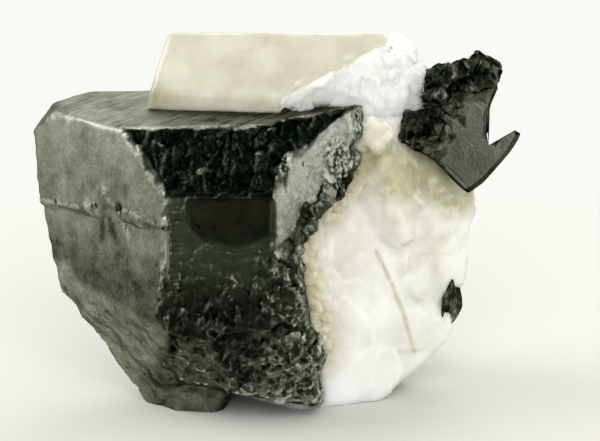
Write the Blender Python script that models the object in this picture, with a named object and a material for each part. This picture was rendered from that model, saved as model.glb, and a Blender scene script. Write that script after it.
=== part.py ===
"""Acanthite and calcite specimen.

A blocky silver-sulphide crystal carries a calcite tablet. It is grown on a mass of cleaved calcite that also
holds a second, spiked crystal and a small chip of the same ore.

All sizes are in millimetres in the drawing frame: x to the right, y away from the viewer with 0 at the large
crystal's front face, and z up from the table. DRAWING_ORIGIN places that frame in the part's own frame,
whose origin is the bottom centre of the whole specimen. A crystal's faces are listed as three of their
corners, or as one corner and the direction the face looks in.
"""

import math
import random

import bmesh
import bpy
from mathutils import Matrix, Vector, noise

MM = 0.001
DRAWING_ORIGIN = Vector((1.325, -7.191, 0.0))

# How finely the pieces are carved, the gap between neighbours, and how many triangles each piece keeps.
CARVING_GRAIN = 0.24
FINE_GRAIN = 0.2
CHIP_GRAIN = 0.14
MATRIX_GRAIN = 0.3
CUTTING_GRAIN = 0.4
BLANK_SIZE = 80.0
CONTACT_GAP = 0.3
TRIANGLES = {
    "acanthite_crystal": 4000,
    "calcite_matrix": 1900,
    "calcite_tablet": 1000,
    "acanthite_blade": 900,
    "acanthite_chip": 180,
    "cutting_skin": 700,
}

# Corners of the large crystal. Its faces are the planes through three of them.
TOP_FRONT_LEFT = Vector((-10.0, 3.0, 16.85))
TOP_FRONT_RIGHT = Vector((-1.4, 3.0, 17.05))
TOP_LEFT = Vector((-14.0, 7.4, 16.85))
TOP_CORNER = Vector((-14.2, 10.5, 16.85))
TOP_BACK_LEFT = Vector((-11.8, 12.5, 16.85))
TOP_BACK_RIGHT = Vector((-5.5, 12.5, 17.0))
BAND_LEFT = Vector((-7.5, 0.0, 13.65))
BAND_RIGHT = Vector((-1.5, 0.0, 13.9))
FRONT_FOOT_LEFT = Vector((-7.4, 0.1, 5.6))
FRONT_FOOT_RIGHT = Vector((-2.0, 0.1, 5.2))
LEFT_TIP = Vector((-15.44, 8.8, 15.3))
LEFT_WAIST = Vector((-15.0, 8.05, 10.7))
LEFT_KNEE = Vector((-14.2, 6.75, 6.8))
LEFT_ANKLE = Vector((-9.35, 5.6, 0.6))
BACK_WAIST = Vector((-11.0, 12.0, 8.0))
RIGHT_FACET_TOP = Vector((2.4, 3.5, 16.5))
RIGHT_FACET_FOOT = Vector((2.3, 3.5, 9.0))
RIM_KNEE = Vector((2.1, 3.4, 13.3))
RIM_WAIST = Vector((-0.5, 1.5, 10.4))
SEAM_TOP = Vector((3.5, 6.5, 17.0))
SEAM_FOOT = Vector((-8.0, 7.4, 0.0))
BACK_FOOT = Vector((-9.0, 9.5, 4.0))
TONGUE_TOP = Vector((-6.0, 4.2, 0.6))
CRYSTAL_MIDDLE = Vector((-5.0, 5.0, 11.0))
SHARED_FACES = [
    (TOP_FRONT_LEFT, TOP_FRONT_RIGHT, BAND_LEFT),
    (BAND_LEFT, BAND_RIGHT, FRONT_FOOT_LEFT),
    (TOP_FRONT_LEFT, TOP_LEFT, BAND_LEFT),
    (TOP_LEFT, TOP_CORNER, LEFT_TIP),
    (TOP_CORNER, LEFT_TIP, LEFT_WAIST),
    (LEFT_WAIST, LEFT_KNEE, BACK_WAIST),
    (LEFT_KNEE, FRONT_FOOT_LEFT, LEFT_ANKLE),
    (LEFT_KNEE, LEFT_ANKLE, BACK_FOOT),
    (FRONT_FOOT_LEFT, FRONT_FOOT_RIGHT, TONGUE_TOP),
    (BAND_RIGHT, RIGHT_FACET_TOP, RIGHT_FACET_FOOT),
    (RIM_KNEE, RIM_WAIST, SEAM_FOOT),
    (SEAM_TOP, SEAM_FOOT, TOP_BACK_RIGHT),
    (TOP_BACK_LEFT, TOP_BACK_RIGHT, BACK_FOOT),
    ((3.55, 5.0, 15.5), (1, 0, 0.05)),
]
# The top face and the bevel of the main body, and the shoulder raised above its right-hand end.
BODY_FACES = [
    (TOP_FRONT_LEFT, TOP_FRONT_RIGHT, TOP_BACK_LEFT),
    (BAND_RIGHT, (-0.75, 2.2, 16.0), (1.2, 2.44, 13.9)),
]
SHOULDER_FACES = [
    ((-0.8, 3.4, 17.35), (2.6, 3.95, 17.85), (0.5, 6.6, 16.85)),
    ((0, 0, 15.7), (0.15, 0, -1)),
    ((-1.3, 3.2, 17.0), (-1, 0.1, 0.6)),
    ((3.3, 4.6, 17.0), (0.9, -0.2, 0.4)),
]
# The rough mass that fills out the lower right-hand corner.
CORNER_MIDDLE = Vector((-1.6, 2.6, 4.5))
CORNER_FACES = [
    ((-4.6, 0.0, 5.0), (0.2, 0.7, 5.0), (-1.2, 0.3, 9.5)),
    ((-4.6, 0.2, 5.2), (0.1, 0.8, 4.8), (-1.5, 1.6, 1.2)),
    ((0.8, 2.0, 3.0), (0.99, 0, 0.15)),
    ((-4.6, 1.4, 2.2), (0.6, 1.5, 1.2), (-2.0, 4.3, 0.9)),
    ((0.4, 4.6, 9.0), (0.4, 5.4, 2.0), (-4.6, 7.4, 2.0)),
    ((-1.2, 0.8, 10.9), (0.3, -0.2, 1)),
    ((-5.4, 0.3, 5.6), (-3.2, 1.0, 1.8), (-7.2, 2.6, 2.6)),
    (LEFT_KNEE, FRONT_FOOT_LEFT, LEFT_ANKLE),
    ((-7.3, 3.0, 3.0), (-1, 0, 0)),
]
# The rounded foot it rests on, and the small hooked spur low on its right.
TONGUE_MIDDLE = Vector((-6.0, 5.2, 0.9))
TONGUE_FACES = [
    ((-8.7, 5.0, 1.0), (-1, 0, 0)),
    ((-4.1, 5.0, 1.0), (1, 0, 0)),
    ((-6.0, 3.7, 1.0), (0, -1, 0)),
    ((-6.0, 7.4, 1.0), (0, 1, 0)),
    ((-6.0, 5.0, 4.4), (0, 0, 1)),
    ((-6.0, 5.0, -0.4), (0, 0, -1)),
    ((-7.6, 3.8, 0.6), (-1, -0.9, -0.5)),
    ((-4.4, 4.0, 0.6), (1, -0.9, -0.5)),
    ((-8.3, 5.0, 0.4), (-1, 0, -0.9)),
    ((-8.6, 5.0, 1.2), (-1, 0, 0.6)),
    ((-4.2, 5.0, 0.4), (1, 0, -0.9)),
]
SPUR_MIDDLE = Vector((1.0, 1.6, 4.3))
SPUR_FACES = [
    ((0.2, 1.6, 4.3), (-1, 0, 0)),
    ((1.45, 1.6, 4.3), (1, 0, 0)),
    ((1.0, 1.3, 4.3), (0, -1, 0)),
    ((1.0, 1.9, 4.3), (0, 1, 0)),
    ((1.0, 1.6, 4.75), (0, 0, 1)),
    ((1.4, 1.6, 4.5), (0.8, 0, 0.9)),
    ((0.9, 1.6, 3.95), (-0.3, 0, -1)),
]

# The ragged right-hand rim of the large crystal, from the top down.
RIM = [
    Vector((3.2, 4.7, 16.8)),
    Vector((3.0, 4.3, 15.4)),
    Vector((2.0, 3.4, 13.7)),
    Vector((0.0, 2.2, 11.9)),
    Vector((-0.8, 1.6, 10.4)),
    Vector((-0.5, 1.6, 7.4)),
    Vector((0.4, 1.6, 4.6)),
    Vector((0.5, 1.8, 1.8)),
]
RIM_GRAINS, RIM_GRAIN_SIZE, RIM_SCATTER = 40, 0.95, 0.35
RIM_REACH, RIM_RELIEF = 1.5, 0.45
ROUGH_CORNER = (Vector((-2.6, 1.0, 4.4)), Vector((-0.8, 1.2, 2.6)))
CORNER_REACH, CORNER_RELIEF = 3.0, 0.4
BAND_RELIEF, FOOT_RELIEF = 0.16, 0.14
LEFT_FACE = Vector((-0.74, -0.67, 0.05))
SEAM_FACE = Vector((0.6, 0.6, -0.5))
LEDGE_RIGHT_HEIGHT, LEDGE_SLOPE, LEDGE_DEPTH = 12.0, 0.09, 0.28
# Knots and holes along the growth ledge, each with its place, its width and its height above the face.
LEDGE_MARKS = [
    (Vector((-10.9, 3.9, 12.9)), 0.7, 0.22),
    (Vector((-12.0, 5.2, 12.0)), 0.7, 0.2),
    (Vector((-9.0, 1.8, 12.0)), 0.6, 0.18),
    (Vector((-10.1, 3.0, 12.1)), 0.42, -0.5),
    (Vector((-11.0, 4.0, 12.1)), 0.35, -0.4),
]
# Furrows and ribs: start, end, width and height above the face.
RIBS = [
    (Vector((-10.9, 3.7, 11.2)), Vector((-10.6, 3.4, 10.0)), 0.45, -0.3),
    (Vector((-9.7, 2.6, 9.0)), Vector((-8.9, 1.9, 7.9)), 0.45, -0.3),
    (Vector((-6.5, 0.0, 6.2)), Vector((-6.5, 0.0, 7.1)), 0.3, 0.35),
    (Vector((-5.6, 0.0, 6.2)), Vector((-5.0, 0.0, 7.4)), 0.26, 0.4),
    (Vector((-4.8, 0.0, 6.1)), Vector((-3.5, 0.0, 7.0)), 0.28, 0.35),
    (Vector((-3.5, 0.0, 6.5)), Vector((-3.4, 0.0, 7.7)), 0.26, 0.35),
    (Vector((-5.0, 0.0, 6.0)), Vector((-2.2, 0.0, 6.5)), 0.3, 0.35),
    (Vector((-4.6, 0.1, 5.5)), Vector((-2.4, 0.1, 5.8)), 0.4, -0.5),
]
# The hollow in the bright right-hand facet, and the hole low on the left.
POCKET = (Vector((2.0, 3.0, 14.2)), Vector((1.9, 2.9, 15.4)), 0.75, -0.75)
LOW_HOLE = (Vector((-7.4, 0.6, 4.9)), Vector((-7.2, 0.7, 4.5)), 0.6, -0.7)
PANEL_LEFT, PANEL_TOP, PANEL_FOOT = -6.1, 14.0, 10.9
PANEL_CORNER, PANEL_RISE = 1.6, 0.16

# The calcite tablet on top: its corners, and the three points its chipped surface passes through.
TABLET_FOOT_LEFT = Vector((-8.7, 7.4, 17.13))
TABLET_FOOT_RIGHT = Vector((5.0, 4.25, 17.13))
TABLET_BEND_LEFT = Vector((-8.55, 7.4, 18.1))
TABLET_BEND_RIGHT = Vector((5.0, 4.28, 18.1))
TABLET_TOP_LEFT = Vector((-7.55, 9.9, 20.95))
TABLET_TOP_RIGHT = Vector((4.85, 6.9, 21.6))
TABLET_MIDDLE = Vector((-2.0, 9.0, 18.6))
CHIP_START = Vector((-1.15, 5.7, 18.15))
CHIP_END = Vector((5.0, 6.9, 21.3))
CHIP_FOOT = Vector((5.6, 7.3, 16.3))
CHIP_GRAINS, CHIP_GRAIN_SIZE, CHIP_RELIEF = 26, 0.9, 0.2
TABLET_UPPER_FACES = [
    (TABLET_BEND_LEFT, TABLET_BEND_RIGHT, TABLET_TOP_LEFT),
    (TABLET_TOP_LEFT, TABLET_TOP_RIGHT, (-7.55, 12.9, 20.05)),
    ((-7.6, 13.0, 17.13), (6.1, 9.85, 17.13), (0, 10.6, 20.0)),
    (CHIP_START, CHIP_END, CHIP_FOOT),
    ((7.35, 8.0, 18.5), (1, -0.1, 0.15)),
    ((6.6, 8.0, 20.1), (0.8, -0.1, 0.5)),
    ((6.0, 8.0, 20.85), (0.4, -0.1, 0.9)),
]
TABLET_LOWER_FACES = [
    (TABLET_FOOT_LEFT, TABLET_FOOT_RIGHT, TABLET_BEND_LEFT),
    (TABLET_FOOT_LEFT, TABLET_TOP_LEFT, (-7.6, 13.0, 17.13)),
    (TABLET_FOOT_LEFT, (0, 0, -1)),
]
# Its right-hand end hangs a little lower, past the edge of the top face.
HANGING_END_MIDDLE = Vector((5.2, 8.6, 18.4))
HANGING_END_FACES = [
    ((6.4, 7.5, 16.62), (0.5, -0.1, -0.87)),
    ((5.0, 8.0, 16.15), (0, 0.1, -1)),
    ((3.3, 8.0, 18.0), (-1, 0, 0)),
]

# The second crystal's outline as seen from the front, and how its front recedes to the right.
BLADE_OUTLINE = [
    (5.5, 15.6), (6.4, 16.5), (7.3, 16.95), (7.25, 18.1), (7.15, 19.0), (7.7, 19.55), (8.3, 19.7),
    (9.2, 19.5), (9.95, 19.7), (10.7, 20.15), (11.2, 19.8), (11.1, 18.8), (11.45, 18.15), (11.05, 17.3),
    (10.85, 16.6), (10.75, 15.3), (11.25, 14.85), (11.9, 15.3), (12.5, 15.75), (12.85, 15.35),
    (12.3, 14.4), (11.35, 13.25), (10.6, 12.5), (9.7, 11.9), (8.75, 13.0), (7.75, 14.05), (6.85, 14.65),
]
BLADE_FRONT, BLADE_TILT = 6.3, 0.3
BLADE_CENTRE = Vector((9.2, 0, 16.0))
# How far each ring of the outline is drawn in towards the centre, and its depth behind the front.
BLADE_RINGS = [(0.1, 0.0), (0.0, 0.4), (0.16, 1.4), (0.55, 3.4)]
BROKEN_EDGE = [
    Vector((6.6, 6.9, 15.6)),
    Vector((7.8, 6.9, 16.3)),
    Vector((7.9, 7.1, 18.4)),
    Vector((8.6, 7.3, 19.1)),
    Vector((10.6, 7.8, 19.3)),
]
EDGE_GRAINS, EDGE_GRAIN_SIZE, EDGE_SCATTER, EDGE_RELIEF = 26, 1.15, 0.4, 0.25

# The small crystal on the matrix's right-hand edge.
CHIP_MIDDLE = Vector((8.95, 9.7, 4.7))
CHIP_FACES = [
    ((9.4, 9.7, 5.0), (1, -0.2, 0.12)),
    ((9.1, 9.1, 5.0), (0.3, -1, 0)),
    ((9.1, 9.7, 6.05), (-0.5, 0, 1)),
    ((9.4, 9.7, 5.6), (0.9, 0, 0.9)),
    ((8.8, 9.7, 3.5), (0.8, 0, -0.8)),
    ((8.3, 9.7, 4.7), (-1, 0.1, 0.45)),
    ((8.9, 11.0, 4.7), (0, 1, 0.1)),
    ((8.5, 9.7, 3.1), (0, 0, -1)),
]

# The matrix: its long crystal axis, its outer faces, and the neck that rises to the tablet.
CALCITE_AXIS = Vector((0.15, -0.72, 0.68))
CREASE_FOOT = (6.4, 6.6, 3.2)
MASS_MIDDLE = Vector((4.0, 9.0, 6.0))
MASS_FACES = [
    ((0.0, 3.9, 9.0), (1.4, 3.5, 0.0), CREASE_FOOT),
    ((4.0, 5.2, 9.6), CREASE_FOOT, (9.5, 9.6, 9.0)),
    ((4.94, 7.4, 0.0), (7.0, 13.3, 0.0), (8.5, 10.0, 2.4)),
    ((10.0, 10.0, 11.0), (9.1, 10.0, 3.3), (9.6, 13.0, 8.0)),
    ((9.9, 7.6, 12.7), (5.4, 6.6, 15.2), (7.0, 12.6, 13.8)),
    ((0.2, 4.0, 9.6), (2.6, 4.8, 13.0), (3.6, 5.2, 11.5)),
    ((0.9, 3.5, 0.0), (-0.62, -0.78, -0.05)),
    ((2.0, 13.4, 8.0), (0.1, 1, 0.1)),
    ((-6.8, 10.5, 6.0), (-1, -0.1, 0.15)),
    ((-4.0, 12.8, 12.0), (-0.5, 0.5, 0.7)),
    ((3.0, 8.0, 15.2), (0.0, 0.1, 1)),
    ((0, 0, -0.5), (0, 0, -1)),
]
LEFT_BACK_CLEAVAGE = Vector((-1.0, 11.6, 7.0))
RIGHT_BACK_CLEAVAGE = Vector((8.0, 12.2, 7.0))
NECK_MIDDLE = Vector((4.2, 7.6, 14.0))
NECK_FACES = [
    ((4.0, 5.5, 14.0), (-0.2, -1, -0.25)),
    ((5.2, 5.8, 14.5), (0.82, -0.57, 0.1)),
    ((4.0, 11.5, 14.0), (0, 1, 0.2)),
    ((2.4, 7.5, 14.0), (-1, 0, 0)),
    ((4.2, 7.5, 16.6), (0, 0, 1)),
    ((4.2, 7.5, 9.5), (0, 0, -1)),
]

# Cleavage rhombs that stand out of the matrix: centre and thickness between each pair of faces.
MATRIX_RHOMBS = [
    ((4.0, 7.8, 14.0), (2.4, 2.6, 2.8)),
    ((6.2, 9.2, 10.2), (3.2, 3.4, 3.0)),
    ((6.1, 9.9, 5.6), (3.0, 3.2, 3.0)),
    ((0.6, 10.6, 11.6), (6.0, 4.6, 4.2)),
    ((-2.6, 10.2, 6.0), (4.6, 4.4, 5.6)),
    ((4.6, 10.6, 8.6), (4.2, 5.6, 5.2)),
    ((2.2, 11.2, 3.6), (5.6, 4.4, 4.8)),
]


def face_plane(face, inside):
    """A face's plane as a point and an outward normal, from its corners or its corner and direction."""
    first = Vector(face[0])
    if len(face) == 2:
        return first, Vector(face[1]).normalized()
    normal = (Vector(face[1]) - first).cross(Vector(face[2]) - first).normalized()
    return first, -normal if normal.dot(inside - first) > 0 else normal


def new_object(name, mesh):
    """An object of that mesh, in the scene."""
    made = bpy.data.objects.new(name, mesh)
    bpy.context.scene.collection.objects.link(made)
    return made


def crystal_block(inside, faces):
    """A convex crystal round a point inside it: a large blank cut back to each of its faces."""
    shape = bmesh.new()
    bmesh.ops.create_cube(shape, size=BLANK_SIZE, matrix=Matrix.Translation(inside))
    for face in faces:
        point, normal = face_plane(face, inside)
        everything = shape.verts[:] + shape.edges[:] + shape.faces[:]
        cut = bmesh.ops.bisect_plane(
            shape, geom=everything, plane_co=point, plane_no=normal, clear_outer=True
        )
        rim = [e for e in cut["geom_cut"] if isinstance(e, bmesh.types.BMEdge)]
        bmesh.ops.edgeloop_fill(shape, edges=rim)
    bmesh.ops.recalc_face_normals(shape, faces=shape.faces)
    mesh = bpy.data.meshes.new("block")
    shape.to_mesh(mesh)
    shape.free()
    return mesh


def rhomb(centre, thicknesses, directions):
    """A cleavage rhomb: a block between three pairs of parallel cleavage planes."""
    centre = Vector(centre)
    faces = []
    for thickness, direction in zip(thicknesses, directions):
        faces.append((centre + direction * thickness / 2, direction))
        faces.append((centre - direction * thickness / 2, -direction))
    return crystal_block(centre, faces)


def lump(centre, size, chance):
    """A small irregular grain, turned and stretched by chance."""
    shape = bmesh.new()
    bmesh.ops.create_icosphere(shape, subdivisions=1, radius=size / 2)
    for vertex in shape.verts:
        vertex.co *= chance.uniform(0.75, 1.2)
    turn = Matrix.Rotation(chance.uniform(0, 3.1), 4, Vector((chance.random(), chance.random(), 1)))
    bmesh.ops.transform(shape, matrix=Matrix.Translation(centre) @ turn, verts=shape.verts)
    mesh = bpy.data.meshes.new("lump")
    shape.to_mesh(mesh)
    shape.free()
    return mesh


def lumps_along(route, count, size, scatter, seed):
    """Grains scattered along a line of points, as on a ragged crystal edge."""
    chance = random.Random(seed)
    grains = []
    for _ in range(count):
        place = chance.uniform(0, len(route) - 1.001)
        start = int(place)
        along = route[start].lerp(route[start + 1], place - start)
        offset = Vector([chance.uniform(-scatter, scatter) for _ in range(3)])
        grains.append(lump(along + offset, size * chance.uniform(0.6, 1.3), chance))
    return grains


def joined(meshes):
    """One mesh that holds all of these, still overlapping."""
    shape = bmesh.new()
    for mesh in meshes:
        shape.from_mesh(mesh)
    whole = bpy.data.meshes.new("joined")
    shape.to_mesh(whole)
    shape.free()
    return whole


def with_modifiers(mesh, *settings):
    """The mesh after these modifiers, each given as its type and its values."""
    carrier = new_object("carrier", mesh)
    for kind, values in settings:
        modifier = carrier.modifiers.new(kind, kind)
        for name, value in values.items():
            setattr(modifier, name, value)
    graph = bpy.context.evaluated_depsgraph_get()
    result = bpy.data.meshes.new_from_object(carrier.evaluated_get(graph))
    bpy.data.objects.remove(carrier)
    return result


def fused(meshes, grain):
    """One closed skin round overlapping blocks, fine enough to carve."""
    return with_modifiers(joined(meshes), ("REMESH", {"mode": "VOXEL", "voxel_size": grain}))


def carve(mesh, relief):
    """Moves each point along its normal by relief(place, normal), in millimetres."""
    normals = [v.normal.copy() for v in mesh.vertices]
    for vertex, normal in zip(mesh.vertices, normals):
        vertex.co += normal * relief(vertex.co, normal)
    return mesh


def thinned(mesh, triangles):
    """The mesh with about that many triangles, flat faces losing theirs first."""
    mesh.calc_loop_triangles()
    share = min(1.0, triangles / len(mesh.loop_triangles))
    return with_modifiers(mesh, ("DECIMATE", {"ratio": share, "use_collapse_triangulate": True}))


def cut_off(mesh, point, outward):
    """The mesh without what lies beyond a plane, closed by a flat face."""
    shape = bmesh.new()
    shape.from_mesh(mesh)
    everything = shape.verts[:] + shape.edges[:] + shape.faces[:]
    cut = bmesh.ops.bisect_plane(
        shape, geom=everything, plane_co=point, plane_no=outward, clear_outer=True
    )
    rim = [e for e in cut["geom_cut"] if isinstance(e, bmesh.types.BMEdge)]
    if rim:
        bmesh.ops.holes_fill(shape, edges=rim, sides=0)
    bmesh.ops.triangulate(shape, faces=shape.faces)
    result = bpy.data.meshes.new("cut")
    shape.to_mesh(result)
    shape.free()
    return result


def swollen(mesh, grain=CUTTING_GRAIN):
    """A simple skin that stands a gap outside a piece, to cut its neighbour with."""
    skin = with_modifiers(mesh.copy(), ("REMESH", {"mode": "VOXEL", "voxel_size": grain}))
    return thinned(carve(skin, lambda place, normal: CONTACT_GAP), TRIANGLES["cutting_skin"])


def without(mesh, cutters):
    """The mesh with the room that its neighbours take cut away."""
    body = new_object("body", mesh)
    helpers = []
    for cutter in cutters:
        helper = new_object("helper", cutter)
        modifier = body.modifiers.new("room", "BOOLEAN")
        modifier.operation = "DIFFERENCE"
        modifier.solver = "EXACT"
        modifier.object = helper
        helpers.append(helper)
    graph = bpy.context.evaluated_depsgraph_get()
    result = bpy.data.meshes.new_from_object(body.evaluated_get(graph))
    for made in [body, *helpers]:
        bpy.data.objects.remove(made)
    return largest_part(result)


def largest_part(mesh):
    """The mesh's biggest connected piece: crumbs that a cut leaves loose are dropped."""
    shape = bmesh.new()
    shape.from_mesh(mesh)
    unvisited = set(shape.verts)
    groups = []
    while unvisited:
        group = set()
        frontier = [unvisited.pop()]
        while frontier:
            vertex = frontier.pop()
            group.add(vertex)
            for edge in vertex.link_edges:
                other = edge.other_vert(vertex)
                if other in unvisited:
                    unvisited.discard(other)
                    frontier.append(other)
        groups.append(group)
    groups.sort(key=len)
    for group in groups[:-1]:
        bmesh.ops.delete(shape, geom=list(group), context="VERTS")
    result = bpy.data.meshes.new("largest")
    shape.to_mesh(result)
    shape.free()
    return result


def near_line(place, start, end, width):
    """1 on the line from start to end, falling smoothly to 0 at that width from it."""
    along = end - start
    share = max(0.0, min(1.0, (place - start).dot(along) / along.length_squared))
    fall = 1 - (place - start.lerp(end, share)).length / width
    return 0.0 if fall <= 0 else fall * fall * (3 - 2 * fall)


def step(value, soft):
    """0 below zero and 1 above, over a soft width."""
    share = max(0.0, min(1.0, value / soft + 0.5))
    return share * share * (3 - 2 * share)


def crumble(place, size):
    """Broken, hackly relief from -1 to 1, with grains of that size."""
    coarse = noise.noise(place / size)
    cells = noise.voronoi(place / (size * 0.8))[0]
    return coarse + 0.9 * (cells[1] - cells[0]) - 0.35


def panel_height(place):
    """The smooth panel on the front face stands a little proud, with a rounded lower left corner."""
    across = place.x - PANEL_LEFT
    up = place.z - PANEL_FOOT
    if across < PANEL_CORNER and up < PANEL_CORNER:
        inside = PANEL_CORNER - Vector((PANEL_CORNER - across, PANEL_CORNER - up)).length
    else:
        inside = min(across, up)
    inside = min(inside, PANEL_TOP - place.z)
    return PANEL_RISE * step(inside, 0.3)


def crystal_relief(place, normal):
    """The large crystal's carving: ledges, ribs and holes on its faces, and a crumbled rim and foot."""
    height = 0.0
    if normal.y < -0.8 and place.y < 0.6:
        height += panel_height(place)
    for centre, width, rise in LEDGE_MARKS:
        height += rise * near_line(place, centre, centre + Vector((0.01, 0, 0)), width)
    for start, end, width, rise in [*RIBS, POCKET, LOW_HOLE]:
        height += rise * near_line(place, start, end, width)
    if normal.y < -0.4 and normal.z > 0.4 and place.x < -0.9:
        height += BAND_RELIEF * crumble(Vector((place.x, place.y, place.z * 0.45)), 0.8)
    if normal.dot(SEAM_FACE) > 0.5:
        return height + 0.1 * noise.noise(place / 1.8)
    rim = max(near_line(place, a, b, RIM_REACH) for a, b in zip(RIM, RIM[1:]))
    corner = near_line(place, *ROUGH_CORNER, CORNER_REACH)
    rough = max(RIM_RELIEF * rim, CORNER_RELIEF * corner)
    height += rough * (crumble(place, 0.75) + 0.4 * crumble(place, 0.4))
    if place.z < 6.2:
        height += FOOT_RELIEF * step(5.8 - place.z, 1.2) * crumble(place, 1.5)
    return height


def set_back_below_ledge(mesh):
    """The left-hand faces stand a little further in below the growth ledge that crosses them."""
    for vertex in mesh.vertices:
        ledge = LEDGE_RIGHT_HEIGHT + LEDGE_SLOPE * (vertex.co.x + 7.7)
        below = step(ledge - vertex.co.z, 0.3) * step(-7.2 - vertex.co.x, 0.8)
        vertex.co -= LEFT_FACE * LEDGE_DEPTH * below
    return mesh


def acanthite_crystal():
    """The large crystal: one blocky individual with a raised shoulder, a ragged rim and a rounded foot."""
    blocks = [
        crystal_block(CRYSTAL_MIDDLE, [*SHARED_FACES, *BODY_FACES]),
        crystal_block(CRYSTAL_MIDDLE, [*SHARED_FACES, *SHOULDER_FACES]),
        crystal_block(CORNER_MIDDLE, CORNER_FACES),
        crystal_block(TONGUE_MIDDLE, TONGUE_FACES),
        crystal_block(SPUR_MIDDLE, SPUR_FACES),
    ]
    grains = lumps_along(RIM, RIM_GRAINS, RIM_GRAIN_SIZE, RIM_SCATTER, seed=4)
    skin = fused([*blocks, *grains], CARVING_GRAIN)
    carved = carve(set_back_below_ledge(skin), crystal_relief)
    rested = cut_off(thinned(carved, TRIANGLES["acanthite_crystal"]), Vector(), Vector((0, 0, -1)))
    return largest_part(rested)


def tablet_relief(place, normal):
    """The tablet's smooth faces barely wave, and its chipped end is crumbled into small cleavage steps."""
    point, outward = face_plane((CHIP_START, CHIP_END, CHIP_FOOT), TABLET_MIDDLE)
    on_fracture = step((place - point).dot(outward) + 0.35, 0.5)
    near_end = step(place.x - 5.4, 1.0)
    chipped = max(on_fracture, near_end)
    return 0.03 * noise.noise(place / 1.8) + CHIP_RELIEF * chipped * crumble(place, 0.8)


def calcite_tablet():
    """The cream calcite crystal that lies across the top, with its right end chipped and hanging a little."""
    whole = crystal_block(TABLET_MIDDLE, [*TABLET_UPPER_FACES, *TABLET_LOWER_FACES])
    hanging_end = crystal_block(HANGING_END_MIDDLE, [*TABLET_UPPER_FACES, *HANGING_END_FACES])
    chance = random.Random(11)
    grains = []
    for _ in range(CHIP_GRAINS):
        along = CHIP_START.lerp(CHIP_END, chance.uniform(0.2, 1))
        spot = along.lerp(CHIP_FOOT, chance.uniform(0.1, 0.9))
        grains.append(lump(spot + Vector((0, chance.uniform(0.1, 0.3), 0)), CHIP_GRAIN_SIZE, chance))
    skin = fused([whole, hanging_end, *grains], CARVING_GRAIN)
    return thinned(carve(skin, tablet_relief), TRIANGLES["calcite_tablet"])


def blade_ring(shape, share, depth):
    """One ring of the blade's outline, drawn in to its middle by a share, at a depth behind its front."""
    ring = []
    for x, z in BLADE_OUTLINE:
        place = Vector((x, 0, z)).lerp(BLADE_CENTRE, share)
        place.y = BLADE_FRONT + BLADE_TILT * (place.x - BLADE_OUTLINE[0][0]) + depth
        ring.append(shape.verts.new(place))
    return ring


def blade_relief(place, normal):
    """Flat on the lower right, lumpy towards the upper left where it is broken."""
    broken = step((9.4 - place.x) + 0.55 * (place.z - 16.2), 1.6)
    return 0.03 * noise.noise(place / 1.5) + broken * EDGE_RELIEF * crumble(place, 0.8)


def acanthite_blade():
    """The second crystal: a flat-faced plate with a spike, broken along its upper left."""
    shape = bmesh.new()
    rings = [blade_ring(shape, share, depth) for share, depth in BLADE_RINGS]
    shape.faces.new(rings[0])
    shape.faces.new(reversed(rings[-1]))
    count = len(BLADE_OUTLINE)
    for ring, after in zip(rings, rings[1:]):
        for i in range(count):
            shape.faces.new((ring[i], after[i], after[(i + 1) % count], ring[(i + 1) % count]))
    bmesh.ops.recalc_face_normals(shape, faces=shape.faces)
    plate = bpy.data.meshes.new("plate")
    shape.to_mesh(plate)
    shape.free()
    grains = lumps_along(BROKEN_EDGE, EDGE_GRAINS, EDGE_GRAIN_SIZE, EDGE_SCATTER, seed=8)
    skin = fused([plate, *grains], FINE_GRAIN)
    return thinned(carve(skin, blade_relief), TRIANGLES["acanthite_blade"])


def acanthite_chip():
    """The small crystal on the matrix's right-hand edge."""
    skin = fused([crystal_block(CHIP_MIDDLE, CHIP_FACES)], CHIP_GRAIN)
    carved = carve(skin, lambda place, normal: 0.06 * crumble(place, 0.5))
    return thinned(carved, TRIANGLES["acanthite_chip"])


def cleavage_directions():
    """Calcite's three cleavage normals, each 44.6 degrees from its long axis and evenly spread round it."""
    axis = CALCITE_AXIS.normalized()
    side = axis.cross(Vector((0, 0, 1)))
    lean = Matrix.Rotation(math.radians(44.6), 3, axis.cross(side)) @ axis
    return [Matrix.Rotation(math.radians(turn), 3, axis) @ lean for turn in (0, 120, 240)]


def matrix_relief(place, normal):
    """Massive calcite: gently uneven, a little crumbled where it meets the ore."""
    seam = max(near_line(place, a, b, 2.2) for a, b in zip(RIM[:5], RIM[1:5]))
    return 0.07 * noise.noise(place / 1.5) + 0.16 * seam * crumble(place, 0.8)


def calcite_matrix(neighbours):
    """The white calcite mass, with cleavage steps, shaped round the crystals that grew in it."""
    cleavage = cleavage_directions()
    back_faces = [(LEFT_BACK_CLEAVAGE, -cleavage[1]), (RIGHT_BACK_CLEAVAGE, -cleavage[0])]
    mass = crystal_block(MASS_MIDDLE, [*MASS_FACES, *back_faces])
    neck = crystal_block(NECK_MIDDLE, NECK_FACES)
    steps = [rhomb(centre, sizes, cleavage) for centre, sizes in MATRIX_RHOMBS]
    skin = fused([mass, neck, *steps], MATRIX_GRAIN)
    carved = thinned(carve(skin, matrix_relief), TRIANGLES["calcite_matrix"])
    return cut_off(without(carved, neighbours), Vector(), Vector((0, 0, -1)))


def finish(colour, roughness, metallic, name):
    """A plain surface of that colour."""
    material = bpy.data.materials.new(name)
    material.use_nodes = True
    shader = material.node_tree.nodes["Principled BSDF"]
    shader.inputs["Base Color"].default_value = (*colour, 1.0)
    shader.inputs["Roughness"].default_value = roughness
    shader.inputs["Metallic"].default_value = metallic
    return material


def place_piece(name, mesh, material):
    """Puts a finished mesh in the part's frame, in metres."""
    mesh.transform(Matrix.Scale(MM, 4) @ Matrix.Translation(DRAWING_ORIGIN))
    mesh.materials.clear()
    mesh.materials.append(material)
    mesh.name = name
    return new_object(name, mesh)


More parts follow.
